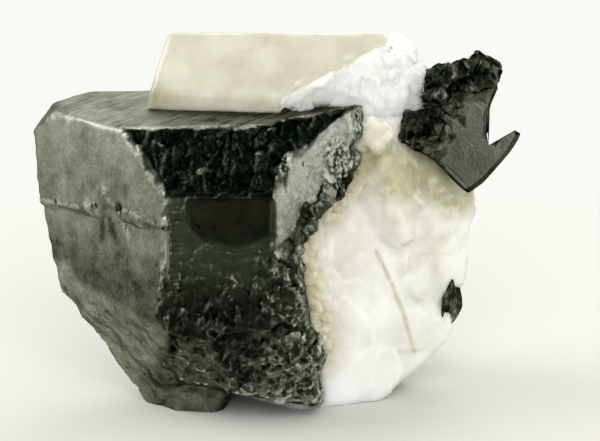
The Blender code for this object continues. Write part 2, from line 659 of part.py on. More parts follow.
def main():
    for leftover in list(bpy.data.objects):
        bpy.data.objects.remove(leftover)
    ore = finish((0.20, 0.21, 0.19), 0.38, 1.0, "acanthite")
    cream = finish((0.80, 0.76, 0.62), 0.25, 0.0, "cream_calcite")
    white = finish((0.86, 0.86, 0.82), 0.4, 0.0, "white_calcite")
    crystal = acanthite_crystal()
    blade = acanthite_blade()
    chip = acanthite_chip()
    tablet = without(calcite_tablet(), [swollen(crystal), swollen(blade)])
    matrix = calcite_matrix([swollen(crystal), swollen(blade), swollen(chip, CHIP_GRAIN), swollen(tablet)])
    place_piece("acanthite_crystal", crystal, ore)
    place_piece("acanthite_blade", blade, ore)
    place_piece("acanthite_chip", chip, ore)
    place_piece("calcite_tablet", tablet, cream)
    place_piece("calcite_matrix", matrix, white)


main()
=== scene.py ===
"""Acanthite and calcite specimen, dressed for a close look.

Each piece starts as a copy of its solid in the part, and is worked on a bench in millimetres, in the drawing
frame: x to the right, y away from the viewer with 0 at the large crystal's front face, and z up from the table.
It gets one fine skin, grains where it is broken, and then its relief from coarse to fine. Masks painted on the
skin tell its material where it is tarnished, worn, stained or broken, and also carry painted shade, painted
reflections and painted glints. finish_piece puts it in the part's own frame, in metres.
"""

import math
import random

import bpy
import numpy as np
from mathutils import Euler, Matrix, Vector
from mathutils.bvhtree import BVHTree
from mathutils.kdtree import KDTree


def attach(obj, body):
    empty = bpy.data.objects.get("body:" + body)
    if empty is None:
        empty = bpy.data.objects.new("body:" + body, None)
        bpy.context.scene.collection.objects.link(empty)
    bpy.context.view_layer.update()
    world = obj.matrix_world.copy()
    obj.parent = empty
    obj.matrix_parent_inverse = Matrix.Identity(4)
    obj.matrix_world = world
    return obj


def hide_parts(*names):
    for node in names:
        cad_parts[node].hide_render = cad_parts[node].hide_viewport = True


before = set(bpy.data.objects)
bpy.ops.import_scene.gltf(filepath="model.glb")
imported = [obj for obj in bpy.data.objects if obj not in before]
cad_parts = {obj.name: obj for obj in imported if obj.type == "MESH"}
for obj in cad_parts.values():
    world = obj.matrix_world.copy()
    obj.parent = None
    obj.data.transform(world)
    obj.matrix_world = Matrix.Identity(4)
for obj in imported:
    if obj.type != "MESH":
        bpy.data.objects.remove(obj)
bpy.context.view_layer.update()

bl_info = {
    "name": "Acanthite and calcite specimen",
    "version": (1, 0, 0),
    "blender": (4, 5, 0),
    "location": "View3D > Sidebar > Specimen",
    "description": "Models a silver-sulphide crystal with its calcite tablet and matrix",
    "category": "Add Mesh",
}

MM = 0.001
MERGE_DISTANCE = 1e-6
DRAWING_ORIGIN = Vector((1.325, -7.191, 0.0))

# The solids stand 0.3 mm apart where minerals meet, and skins that are swollen by this close that gap.
SWELL = 0.16

# The photograph's side: the camera looks down by this tilt, and shows this width at the specimen.
VIEW_TILT = math.radians(15)
CAMERA_DISTANCE = 200.0
CAMERA_AIM = Vector((0.0, 6.0, 10.82))
SHOWN_WIDTH = 34.57

# A ray from there starts this far in front, and one that misses the piece stops where its outline lies.
RAY_START = 40.0
OUTLINE_DEPTH = 9.6

# How far a shard may stand in or out.
DEEPEST_SHARD = -0.5
HIGHEST_SHARD = 0.4

# Lines seen from the photograph's side: how far right, and how high on the front face.
LEFT_EDGE = [
    (-8.3, 1.3), (-8.8, 3.0), (-8.0, 4.6), (-7.4, 5.63), (-7.5, 8.0), (-7.55, 12.0), (-7.52, 13.73),
    (-7.81, 14.65), (-8.39, 15.64), (-9.14, 16.76), (-9.97, 17.65),
]
LOWER_LEFT_CREASE = [(-13.42, 9.94), (-12.69, 8.57), (-10.85, 7.73), (-9.05, 6.72), (-7.2, 5.98)]
SILVER_TOP = [
    (-1.7, 11.4), (-1.56, 13.45), (-1.22, 15.45), (-0.78, 16.38), (0.0, 16.51), (0.56, 16.86), (1.63, 17.87),
    (2.6, 18.71), (3.3, 19.1),
]
SILVER_FOOT = [(-1.7, 11.2), (-1.01, 11.06), (-0.62, 11.47), (0.23, 12.74), (0.73, 13.44), (1.47, 14.03), (3.2, 15.6)]
SILVER_RIM = [(3.2, 18.8), (3.5, 17.9), (3.2, 16.4), (2.9, 14.8), (2.1, 13.2), (0.7, 12.4), (-0.5, 11.0)]
POCKET = [(2.0, 16.4), (2.15, 15.5), (2.1, 14.7)]
BAND_EDGE = [(-7.3, 14.1), (-1.7, 14.1)]
BAND_FOOT = 13.78
KNOB = [(3.9, 17.2), (4.5, 17.6)]
KNOB_FOOT = [(3.4, 15.6), (4.4, 16.0), (5.2, 16.5)]
SPIKE_TOP = [(11.0, 16.95), (12.45, 17.83), (12.7, 17.7)]

# The blocks that the chip's arrow is made of, seen so too, and how far each stands out of the matrix.
CHIP_ARROW = [
    (0.4, [(8.94, 8.91), (9.27, 8.07), (8.57, 7.08), (8.35, 7.74)]),
    (0.4, [(8.35, 7.74), (8.62, 7.3), (8.36, 6.5), (8.26, 6.56)]),
    (0.95, [(8.35, 7.74), (9.0, 7.6), (8.93, 6.75), (8.5, 6.9)]),
]

# The corners of the bulge that the silver facet has on its right, and how its sweep falls back to the right.
SILVER_BULGE = [
    (0.3, 2.12, 16.12), (1.63, 3.0, 17.0), (2.6, 3.61, 17.2), (0.3, 2.36, 14.9), (1.63, 2.75, 14.9),
    (2.6, 3.55, 14.9), (1.63, 2.75, 13.6), (2.6, 3.6, 13.6), (2.6, 6.0, 14.0), (1.0, 6.0, 14.0), (1.0, 6.0, 17.0),
]
SILVER_SWEEP = [(-1.0, 0.3), (0.3, 1.65), (1.63, 2.65), (2.6, 3.45)]

# How far the front face falls back towards its foot.
FRONT_LEAN = 0.25

# Marks on the large crystal, as lines of points on its faces.
LEFT_RIDGE = [(-13.98, 7.38, 16.85), (-12.57, 5.82, 16.81), (-11.35, 4.47, 16.72), (-9.97, 2.97, 16.85)]
LEFT_ARRIS = [
    (-9.97, 2.97, 16.85), (-9.14, 2.01, 16.22), (-8.39, 1.11, 15.34), (-7.81, 0.41, 14.54), (-7.52, 0.03, 13.72),
    (-7.55, 0.03, 12.0), (-7.5, 0.05, 8.0), (-7.4, 0.1, 5.6),
]
GROWTH_LEDGE = [
    (-15.2, 8.3, 11.5), (-14.06, 7.06, 11.65), (-13.12, 6.04, 11.73), (-12.2, 5.03, 11.88), (-11.58, 4.4, 12.3),
    (-11.03, 3.84, 12.75), (-10.61, 3.36, 12.6), (-10.13, 2.79, 12.35), (-9.3, 1.88, 12.42), (-8.53, 1.02, 12.18),
    (-7.5, 0.0, 12.09),
]
LEDGE_HOLE = (-10.2, 2.85, 12.42)
LEDGE_PITS = [[(-10.8, 3.6, 12.35), (-11.1, 3.9, 12.15)], [(-11.5, 4.3, 12.2), (-11.9, 4.7, 11.95)]]
FURROWS = [
    [(-10.8, 3.47, 11.53), (-10.51, 3.06, 10.46)], [(-11.16, 3.88, 11.71), (-11.42, 4.05, 10.19)],
    [(-9.81, 2.15, 8.65), (-9.04, 1.25, 7.91)], [(-9.75, 2.49, 13.74), (-9.69, 2.38, 13.18)],
]
PANEL_FOOT = [
    (-6.35, 0.0, 13.0), (-6.1, 0.0, 12.0), (-5.94, 0.0, 11.73), (-5.45, 0.0, 11.3), (-4.61, 0.0, 11.12),
    (-3.5, 0.0, 10.93), (-2.59, 0.0, 11.14), (-1.68, 0.0, 11.58),
]
BAND_SLIVERS = [
    [(-2.39, 2.47, 16.45), (-2.42, 2.2, 16.16)], [(-2.21, 1.87, 15.8), (-2.07, 1.6, 15.51), (-2.0, 1.43, 15.33)],
    [(-2.17, 0.9, 14.75), (-2.09, 0.57, 14.4)], [(-4.18, 2.69, 16.65), (-4.0, 2.23, 16.15)],
    [(-3.52, 2.79, 16.77), (-3.65, 2.55, 16.5), (-3.69, 2.22, 16.15)],
    [(0.7, 3.07, 17.17), (0.53, 2.8, 16.88), (0.56, 2.47, 16.52)], [(-7.12, 1.85, 15.66), (-6.96, 1.3, 15.08)],
    [(-6.71, 1.03, 14.79), (-6.53, 0.84, 14.58)], [(-3.93, 1.87, 15.77), (-4.2, 1.42, 15.27)],
    [(-7.95, 2.86, 16.74), (-8.06, 2.47, 16.32)], [(-8.97, 2.29, 16.11), (-8.87, 2.1, 15.9)],
    [(-4.88, 2.51, 16.44), (-4.91, 2.19, 16.09)],
]
BAND_HAIRLINES = [
    [(-1.34, 2.48, 16.48), (-0.77, 1.95, 15.93)], [(-0.56, 2.46, 16.49), (0.0, 2.31, 16.33), (0.49, 2.12, 16.14)],
]
FRONT_SLIVERS = [
    [(-5.08, 0.0, 14.1), (-5.33, 0.0, 13.83)], [(-6.76, 0.0, 13.9), (-6.52, 0.0, 13.47)],
    [(-5.31, 0.0, 10.93), (-5.6, 0.0, 10.49), (-5.95, 0.0, 10.2)],
    [(-0.98, 0.05, 9.98), (-0.77, 0.06, 9.25), (-0.7, 0.07, 8.37)],
    [(-1.96, 0.05, 10.6), (-1.96, 0.05, 10.12), (-2.03, 0.06, 9.32)], [(-2.11, 0.08, 7.56), (-1.97, 0.08, 7.05)],
    [(-1.69, 0.09, 6.97), (-1.34, 0.09, 6.9), (-0.99, 0.1, 6.16)],
    [(-5.06, 0.08, 7.49), (-5.34, 0.08, 7.05), (-5.67, 0.09, 6.16)], [(-6.54, 0.08, 7.2), (-6.48, 0.09, 6.16)],
    [(-3.51, 0.08, 7.34), (-3.48, 0.09, 6.53)], [(-2.61, 0.1, 6.02), (-2.47, 0.1, 5.79), (-2.71, 0.1, 5.43)],
]
FRONT_RIBS = [
    [(-3.37, 0.07, 8.52), (-4.0, 0.07, 8.44), (-4.64, 0.08, 7.71)], [(-3.94, 0.08, 7.34), (-4.64, 0.09, 6.46)],
    [(-3.1, 0.09, 6.31), (-2.25, 0.09, 6.68)], [(-4.93, 0.09, 6.16), (-3.52, 0.1, 6.16), (-2.32, 0.09, 6.61)],
]
FRONT_HOLLOWS = [
    [(-4.72, 0.1, 5.72), (-3.52, 0.1, 5.43), (-2.82, 0.1, 5.57)], [(-7.34, 0.3, 5.37), (-7.23, 1.1, 4.38)],
]
SILVER_EDGE = [(-1.5, 0.0, 13.0), (2.0, 3.4, 17.2)]
SILVER_DASHES = [[(-1.22, 0.23, 15.56), (-0.95, 0.48, 15.79)], [(-0.89, 0.54, 14.91), (-0.84, 0.6, 13.92)]]
RIM = [
    (3.2, 4.7, 16.8), (3.0, 4.3, 15.4), (2.0, 3.4, 13.7), (0.0, 2.2, 11.9), (-0.8, 1.6, 10.4), (-0.5, 1.6, 7.4),
    (0.4, 1.6, 4.6), (0.5, 1.8, 1.8),
]
ROUGH_CORNER = [(-1.2, 0.3, 9.6), (-0.7, 0.9, 7.2), (-1.1, 0.8, 5.2), (-0.5, 1.2, 3.6), (-0.7, 1.6, 2.0)]
TONGUE = (-6.0, 4.6, 0.9)
TONGUE_WIDTH = 3.2

# The ways that the large crystal's faces look.
LEFT_FACE = (-0.74, -0.67, 0.05)
BAND_FACE = (0.0, -0.73, 0.68)
SILVER_FACE = (0.5, -0.8, 0.3)
FRONT_FACE = (0.0, -1.0, 0.0)
TOP_FACE = (0.0, 0.0, 1.0)
SEAM_FACE = (0.6, 0.6, -0.5)

# The tablet's chipped edge climbs to the right, and its lower left corner is dusted with ore.
CHIP_BORDER = [(-1.14, 5.83, 18.1), (0.57, 6.12, 18.97), (2.29, 6.65, 19.78), (5.04, 7.36, 21.15)]
DUSTY_CORNER = (-8.4, 7.3, 18.0)

# The seam of crumbs follows the crystal's rim, and the shade lies under the blade.
CRUMB_SEAM = [
    (3.16, 6.06, 14.4), (2.58, 5.77, 12.69), (1.72, 5.15, 11.85), (0.92, 5.6, 11.15), (0.3, 4.9, 10.2),
    (0.1, 4.5, 8.63), (0.35, 4.9, 7.55), (0.6, 4.7, 6.42), (0.81, 4.3, 5.35), (1.0, 4.2, 3.4),
]
MATRIX_CRACK = [
    (4.39, 6.22, 8.88), (4.81, 6.3, 8.01), (5.22, 6.45, 7.13), (5.64, 6.57, 6.0), (6.06, 6.66, 4.88),
    (6.36, 6.63, 3.74), (6.66, 6.71, 2.68),
]
MATRIX_MOTTLE = [
    [(5.76, 6.04, 10.84), (7.56, 8.22, 11.46), (8.78, 8.86, 9.48), (7.29, 7.73, 7.97), (5.81, 6.84, 7.62)],
    [(7.27, 7.85, 10.35), (7.71, 8.03, 8.01), (8.21, 8.34, 5.98), (7.0, 7.27, 5.68)],
]
KHAKI_SHADE = [(6.05, 6.79, 13.32), (6.96, 8.11, 13.59), (8.16, 8.83, 12.51), (9.07, 9.49, 11.73)]
BLADE_LUMPS = [(6.0, 6.5, 15.4), (6.6, 6.5, 17.0), (7.6, 6.6, 18.4), (9.2, 7.2, 19.0), (11.0, 8.2, 19.4)]


def linear(colour):
    """An sRGB hex colour as the linear one that Blender works in."""
    values = [int(colour[i : i + 2], 16) / 255 for i in (1, 3, 5)]
    return [v / 12.92 if v <= 0.04045 else ((v + 0.055) / 1.055) ** 2.4 for v in values]


def only(*pieces):
    """Selects these pieces alone, and makes the first the active one."""
    bpy.ops.object.select_all(action="DESELECT")
    for piece in pieces:
        piece.select_set(True)
    bpy.context.view_layer.objects.active = pieces[0]


def modify(piece, kind, **values):
    """Adds a modifier with these values, and applies it."""
    modifier = piece.modifiers.new(kind.title(), kind)
    for name, value in values.items():
        setattr(modifier, name, value)
    only(piece)
    bpy.ops.object.modifier_apply(modifier=modifier.name)
    return piece


def start_edit(piece):
    """Goes into edit mode on this piece, with all of it selected."""
    only(piece)
    bpy.ops.object.mode_set(mode="EDIT")
    bpy.ops.mesh.select_all(action="SELECT")


def end_edit():
    """Leaves edit mode."""
    bpy.ops.object.mode_set(mode="OBJECT")


def core_of(node_name):
    """A copy of one of the part's solids, merged and laid on the bench in millimetres."""
    piece = bpy.data.objects.new("core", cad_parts[node_name].data.copy())
    bpy.context.scene.collection.objects.link(piece)
    piece.data.materials.clear()
    start_edit(piece)
    bpy.ops.mesh.remove_doubles(threshold=MERGE_DISTANCE)
    end_edit()
    piece.location = -DRAWING_ORIGIN
    piece.scale = (1 / MM, 1 / MM, 1 / MM)
    bpy.ops.object.transform_apply(location=True, rotation=True, scale=True)
    return piece


def wrapped(corners):
    """The smallest convex block round some corners."""
    mesh = bpy.data.meshes.new("block")
    mesh.from_pydata(corners, [], [])
    block = bpy.data.objects.new("block", mesh)
    bpy.context.scene.collection.objects.link(block)
    start_edit(block)
    bpy.ops.mesh.convex_hull()
    end_edit()
    return block


def open_cube():
    """A new cube, 1 mm wide, in edit mode."""
    bpy.ops.object.select_all(action="DESELECT")
    bpy.ops.mesh.primitive_cube_add(size=1.0)
    cube = bpy.context.active_object
    start_edit(cube)
    return cube


def cubic_grain():
    """One grain of ore to copy: a cube with its corners cut off."""
    grain = open_cube()
    bpy.ops.mesh.bevel(offset=0.2, segments=1, affect="VERTICES")
    end_edit()
    return grain


def rhomb_grain():
    """One grain of calcite to copy: a cube pressed along one diagonal into a cleavage rhomb."""
    grain = open_cube()
    bpy.ops.transform.rotate(value=math.pi / 4, orient_axis="Z", center_override=(0, 0, 0))
    bpy.ops.transform.rotate(value=math.atan(math.sqrt(2)), orient_axis="X", center_override=(0, 0, 0))
    bpy.ops.transform.resize(value=(1.12, 1.12, 0.84))
    end_edit()
    return grain


def scattered(grain, spots, size, chance):
    """Copies of one grain at these spots, each turned and sized by chance."""
    copies = []
    for spot in spots:
        copy = grain.copy()
        copy.data = grain.data.copy()
        bpy.context.scene.collection.objects.link(copy)
        copy.location = spot
        copy.rotation_euler = Euler([chance.uniform(0, math.tau) for _ in range(3)])
        across = size * chance.uniform(0.6, 1.4)
        copy.scale = [across * chance.uniform(0.7, 1.3) for _ in range(3)]
        copies.append(copy)
    bpy.data.objects.remove(grain)
    only(*copies)
    bpy.ops.object.transform_apply(location=True, rotation=True, scale=True)
    return copies


def spots_along(route, count, scatter, chance):
    """Points by chance along a line of points."""
    spots = []
    for _ in range(count):
        place = chance.uniform(0, len(route) - 1.001)
        start = int(place)
        along = Vector(route[start]).lerp(Vector(route[start + 1]), place - start)
        spots.append(along + Vector([chance.uniform(-scatter, scatter) for _ in range(3)]))
    return spots


def settled(spots, core, depth):
    """The spots moved onto a piece's surface, and a little way into it."""
    skin = BVHTree.FromObject(core, bpy.context.evaluated_depsgraph_get())
    found = [skin.find_nearest(spot) for spot in spots]
    return [place - normal * depth for place, normal, _, _ in found]


def crust(core, make_grain, rows, chance, sunk):
    """Grains by chance along lines of points, each sunk into a piece by that share of its size.

    Each row holds a line, how many grains it gets, how far they scatter and their size.
    """
    grains = []
    for route, count, scatter, size in rows:
        spots = settled(spots_along(route, count, scatter, chance), core, sunk * size)
        grains += scattered(make_grain(), spots, size, chance)
    return grains


def behind(core, view_spots, depth):
    """The points of a piece that show at these spots from the photograph's side, and go in by a depth."""
    skin = BVHTree.FromObject(core, bpy.context.evaluated_depsgraph_get())
    away = Vector((0, math.cos(VIEW_TILT), -math.sin(VIEW_TILT)))
    places = []
    for x, height in view_spots:
        start = Vector((x, 0, height))
        found = skin.ray_cast(start - RAY_START * away, away)[0] or start + OUTLINE_DEPTH / away.y * away
        places.append(found + depth * away)
    return places


def fused(name, parts, skin):
    """Joins overlapping parts and wraps one closed skin of that fineness round them."""
    only(*parts)
    bpy.ops.object.join()
    piece = bpy.context.active_object
    piece.name = name
    piece.data.name = name
    return modify(piece, "REMESH", mode="VOXEL", voxel_size=skin)


def surface(piece):
    """The places and the outward directions of the piece's points, one row for each."""
    count = len(piece.data.vertices)
    places = np.empty(count * 3)
    normals = np.empty(count * 3)
    piece.data.vertices.foreach_get("co", places)
    piece.data.vertex_normals.foreach_get("vector", normals)
    return places.reshape(-1, 3), normals.reshape(-1, 3)


def everywhere(piece):
    """Weights of 1 on all of the piece's points."""
    return np.ones(len(piece.data.vertices))


def soft_step(values, softness):
    """0 below zero and 1 above, over a soft width."""
    share = np.clip(values / softness + 0.5, 0, 1)
    return share * share * (3 - 2 * share)


def near_route(places, route, width):
    """1 on a line of points, falling smoothly to 0 at that width from it."""
    nearest = np.full(len(places), np.inf)
    for start, end in zip(route, route[1:]):
        start = np.array(start, float)
        along = np.array(end, float) - start
        share = np.clip((places - start) @ along / (along @ along), 0, 1)
        gap = np.linalg.norm(places - start - share[:, None] * along, axis=1)
        nearest = np.minimum(nearest, gap)
    return soft_step(0.5 - nearest / width, 1.0)


def near_routes(places, routes, width):
    """1 on any of several lines of points."""
    return np.max([near_route(places, route, width) for route in routes], axis=0)


def seen(places):
    """Where points show from the photograph's side: how far right, and how high on the front face."""
    places = np.array(places, float)
    return np.column_stack([places[:, 0], places[:, 2] + places[:, 1] * math.tan(VIEW_TILT)])


def near_spot(places, spot, width):
    """1 at a spot, falling smoothly to 0 at that width from it."""
    return soft_step(0.5 - np.linalg.norm(places - np.array(spot), axis=1) / width, 1.0)


def facing(normals, direction, least, softness=0.1):
    """1 where the surface looks that way, within a limit on the cosine."""
    way = np.array(Vector(direction).normalized())
    return soft_step(normals @ way - least, softness)


def crests(piece, reach):
    """How far each point stands above its neighbours' average, in millimetres: more on crests, less in hollows."""
    places, normals = surface(piece)
    ends = np.empty(len(piece.data.edges) * 2, int)
    piece.data.edges.foreach_get("vertices", ends)
    first, second = ends.reshape(-1, 2).T
    count = len(places)
    neighbours = np.bincount(ends, minlength=count)
    smooth = places.copy()
    for _ in range(reach):
        for axis in range(3):
            along = smooth[:, axis].copy()
            total = np.bincount(first, along[second], count) + np.bincount(second, along[first], count)
            smooth[:, axis] = total / neighbours
    return ((places - smooth) * normals).sum(axis=1)


def weigh(piece, weights, steps=50):
    """A vertex group that holds these weights."""
    group = piece.vertex_groups.new(name="weights")
    levels = np.round(np.clip(weights, 0, 1) * steps).astype(int)
    for level in range(1, steps + 1):
        group.add(np.flatnonzero(levels == level).tolist(), level / steps, "REPLACE")
    return group


def push(piece, weights, height, relief=None, stretch=None):
    """Moves the surface along its normals by a height, where the weights and the relief's pattern say."""
    group = weigh(piece, weights)
    values = {"vertex_group": group.name, "strength": height, "mid_level": 0.5 if relief else 0.0}
    if relief:
        values["texture"] = relief
    if stretch:
        bpy.ops.object.empty_add()
        ruler = bpy.context.active_object
        ruler.scale = stretch
        bpy.context.view_layer.update()
        values["texture_coords"] = "OBJECT"
        values["texture_coords_object"] = ruler
    modify(piece, "DISPLACE", **values)
    if stretch:
        bpy.data.objects.remove(ruler)
    piece.vertex_groups.clear()


def mould(piece, places):
    """Moves the piece's points to new places."""
    piece.data.vertices.foreach_set("co", places.ravel())
    piece.data.update()


def relax(piece, weights, rounds):
    """Rounds the surface off where the weights say."""
    modify(piece, "SMOOTH", factor=0.5, iterations=rounds, vertex_group=weigh(piece, weights).name)
    piece.vertex_groups.clear()


def splinter(piece, weights, count, tilt, step, seed, stretch=(1, 1, 1)):
    """Breaks the surface into flat shards, each tilted and stepped in or out by chance where the weights say."""
    places, normals = surface(piece)
    chance = np.random.default_rng(seed)
    used = np.flatnonzero(weights > 0.02)
    scaled = places / np.array(stretch)
    seeds = chance.choice(used, count, replace=False)
    tree = KDTree(count)
    for index, seed_point in enumerate(seeds):
        tree.insert(scaled[seed_point], index)
    tree.balance()
    nearest = np.array([tree.find(place)[1] for place in scaled[used]])
    tilts = chance.normal(0, tilt, (count, 3))
    heights = ((places[used] - places[seeds[nearest]]) * tilts[nearest]).sum(axis=1)
    heights += chance.normal(0, step, count)[nearest]
    places[used] += normals[used] * (weights[used] * np.clip(heights, DEEPEST_SHARD, HIGHEST_SHARD))[:, None]
    mould(piece, places)


def pattern(kind, grain, **values):
    """A procedural pattern for relief, with grains of that size in millimetres."""
    made = bpy.data.textures.new("relief", kind)
    made.noise_scale = grain
    for name, value in values.items():
        setattr(made, name, value)
    return made


def hackle(grain):
    """The pattern of a broken surface: hollow shells between sharp crests, when pushed inwards."""
    return pattern("CLOUDS", grain, noise_basis="VORONOI_F2_F1", noise_depth=0)


def waves(grain, depth=2):
    """The pattern of a gently uneven face."""
    return pattern("CLOUDS", grain, noise_basis="ORIGINAL_PERLIN", noise_depth=depth)


def cut_at_table(piece):
    """Cuts the piece off flat where it meets the table, and closes it there."""
    start_edit(piece)
    bpy.ops.mesh.bisect(plane_co=(0, 0, 0), plane_no=(0, 0, -1), use_fill=True, clear_outer=True)
    end_edit()


def thin(piece, triangles, kept):
    """Drops points until about that many triangles are left, and last where the mask is 1."""
    piece.data.calc_loop_triangles()
    share = triangles / len(piece.data.loop_triangles)
    if share < 1:
        spare = weigh(piece, 1 - kept, steps=10)
        modify(piece, "DECIMATE", ratio=share, use_collapse_triangulate=True, vertex_group=spare.name)
        piece.vertex_groups.clear()


def paint(piece, **masks):
    """Stores masks on the piece for its material to read."""
    for name, weights in masks.items():
        layer = piece.data.attributes.new(name, "FLOAT", "POINT")
        layer.data.foreach_set("value", np.clip(weights, 0, 1).astype(np.float32))


def taken(piece, names):
    """Takes masks off the piece again."""
    masks = {}
    for name in names:
        masks[name] = np.empty(len(piece.data.vertices), np.float32)
        piece.data.attributes[name].data.foreach_get("value", masks[name])
        piece.data.attributes.remove(piece.data.attributes[name])
    return masks


def finish_piece(piece, name, node_name, material, crease):
    """Brings a piece to the part's frame with its material, and lets it stand for its solid."""
    only(piece)
    piece.name = name
    piece.data.name = name
    piece.location = DRAWING_ORIGIN * MM
    piece.scale = (MM, MM, MM)
    bpy.ops.object.transform_apply(location=True, rotation=True, scale=True)
    bpy.ops.object.shade_smooth_by_angle(angle=math.radians(crease))
    piece.data.materials.clear()
    piece.data.materials.append(material)
    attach(piece, "root")
    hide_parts(node_name)


def add_node(tree, kind, inputs=None, **settings):
    """Adds a node with its settings, and sets or links its inputs by name or number."""
    made = tree.nodes.new(kind)
    for name, value in settings.items():
        setattr(made, name, value)
    for name, value in (inputs or {}).items():
        if isinstance(value, bpy.types.Node):
            value = value.outputs[0]
        if isinstance(value, bpy.types.NodeSocket):
            tree.links.new(value, made.inputs[name])
        else:
            made.inputs[name].default_value = value
    return made


def new_material(name):
    """A material with its node tree and its surface shader."""
    material = bpy.data.materials.new(name)
    material.use_nodes = True
    return material, material.node_tree, material.node_tree.nodes["Principled BSDF"]


def acanthite(colours):
    """Acanthite, silver sulphide that grew in blocky crystals and has tarnished in air.

    It is a soft, dark lead-grey metal, satin on its growth faces and crinkled where broken. Its tarnish mask also
    holds painted shade and painted reflection, black on the crinkled bevel, and its wear mask holds painted glints
    and highlights on edges, crests and slivers besides some rubbed edges.
    """
    if "tarnished_acanthite" in bpy.data.materials:
        return bpy.data.materials["tarnished_acanthite"]
    material, tree, shader = new_material("tarnished_acanthite")
    coords = add_node(tree, "ShaderNodeTexCoord").outputs["Object"]
    place = add_node(tree, "ShaderNodeMapping", {"Vector": coords, "Scale": (1 / MM, 1 / MM, 1 / MM)})
    tarnish, worn, lined = [
        add_node(tree, "ShaderNodeAttribute", attribute_name=name).outputs["Fac"]
        for name in ("tarnish", "worn", "lined")
    ]
    # Blotches of tarnish are about 1.2 mm wide and the satin's pits 0.17 mm, and growth lines 0.2 mm by 3 mm.
    mottle = add_node(tree, "ShaderNodeTexNoise", {"Vector": place, "Scale": 0.8, "Detail": 8.0, "Roughness": 0.66})
    grain = add_node(tree, "ShaderNodeTexNoise", {"Vector": place, "Scale": 6.0, "Detail": 4.0, "Roughness": 0.7})
    strip = add_node(
        tree,
        "ShaderNodeMapping",
        {"Vector": coords, "Rotation": (0, 0, math.radians(54)), "Scale": (3 * MM, 0.2 * MM, 0.2 * MM)},
        vector_type="TEXTURE",
    )
    streaks = add_node(tree, "ShaderNodeTexNoise", {"Vector": strip, "Scale": 1.0, "Detail": 3.0})
    tone = add_node(tree, "ShaderNodeMath", {0: mottle, 1: 0.9, 2: -0.45}, operation="MULTIPLY_ADD")
    tone = add_node(tree, "ShaderNodeMath", {0: grain, 1: 0.5, 2: tone}, operation="MULTIPLY_ADD")
    lines = add_node(tree, "ShaderNodeMath", {0: streaks, 1: 0.5}, operation="SUBTRACT")
    lines = add_node(tree, "ShaderNodeMath", {0: lines, 1: lined}, operation="MULTIPLY")
    tone = add_node(tree, "ShaderNodeMath", {0: lines, 1: 1.0, 2: tone}, operation="MULTIPLY_ADD")
    swing = add_node(
        tree, "ShaderNodeMapRange", {"Value": tarnish, "From Min": 0.7, "From Max": 1.0, "To Min": 1.0, "To Max": 0.15}
    )
    tone = add_node(tree, "ShaderNodeMath", {0: tone, 1: -0.25}, operation="ADD")
    tone = add_node(tree, "ShaderNodeMath", {0: tone, 1: swing, 2: tarnish}, operation="MULTIPLY_ADD", use_clamp=True)
    ramp = add_node(tree, "ShaderNodeValToRGB", {"Fac": tone})
    clean, black = ramp.color_ramp.elements
    clean.color, black.color = colours["clean_ore"], colours["black_ore"]
    ramp.color_ramp.elements.new(0.6).color = colours["olive_ore"]
    metal = ramp.outputs["Color"]
    ragged = add_node(tree, "ShaderNodeMath", {0: worn, 1: grain}, operation="MULTIPLY")
    wear = add_node(tree, "ShaderNodeMapRange", {"Value": ragged, "From Min": 0.22, "From Max": 0.5})
    colour = add_node(
        tree, "ShaderNodeMix", {0: wear, 6: metal, 7: colours["burnished_ore"]}, data_type="RGBA"
    ).outputs[2]
    roughness = add_node(
        tree, "ShaderNodeMapRange", {"Value": grain, "From Min": 0.3, "From Max": 0.7, "To Min": 0.26, "To Max": 0.5}
    )
    height = add_node(tree, "ShaderNodeMath", {0: lines, 1: 1.0, 2: grain}, operation="MULTIPLY_ADD")
    bump = add_node(tree, "ShaderNodeBump", {"Strength": 0.6, "Distance": 0.00006, "Height": height})
    tree.links.new(colour, shader.inputs["Base Color"])
    tree.links.new(roughness.outputs[0], shader.inputs["Roughness"])
    tree.links.new(bump.outputs[0], shader.inputs["Normal"])
    shader.inputs["Metallic"].default_value = 1.0
    shader.inputs["Specular Tint"].default_value = (*linear("#6c6f69"), 1)
    return material


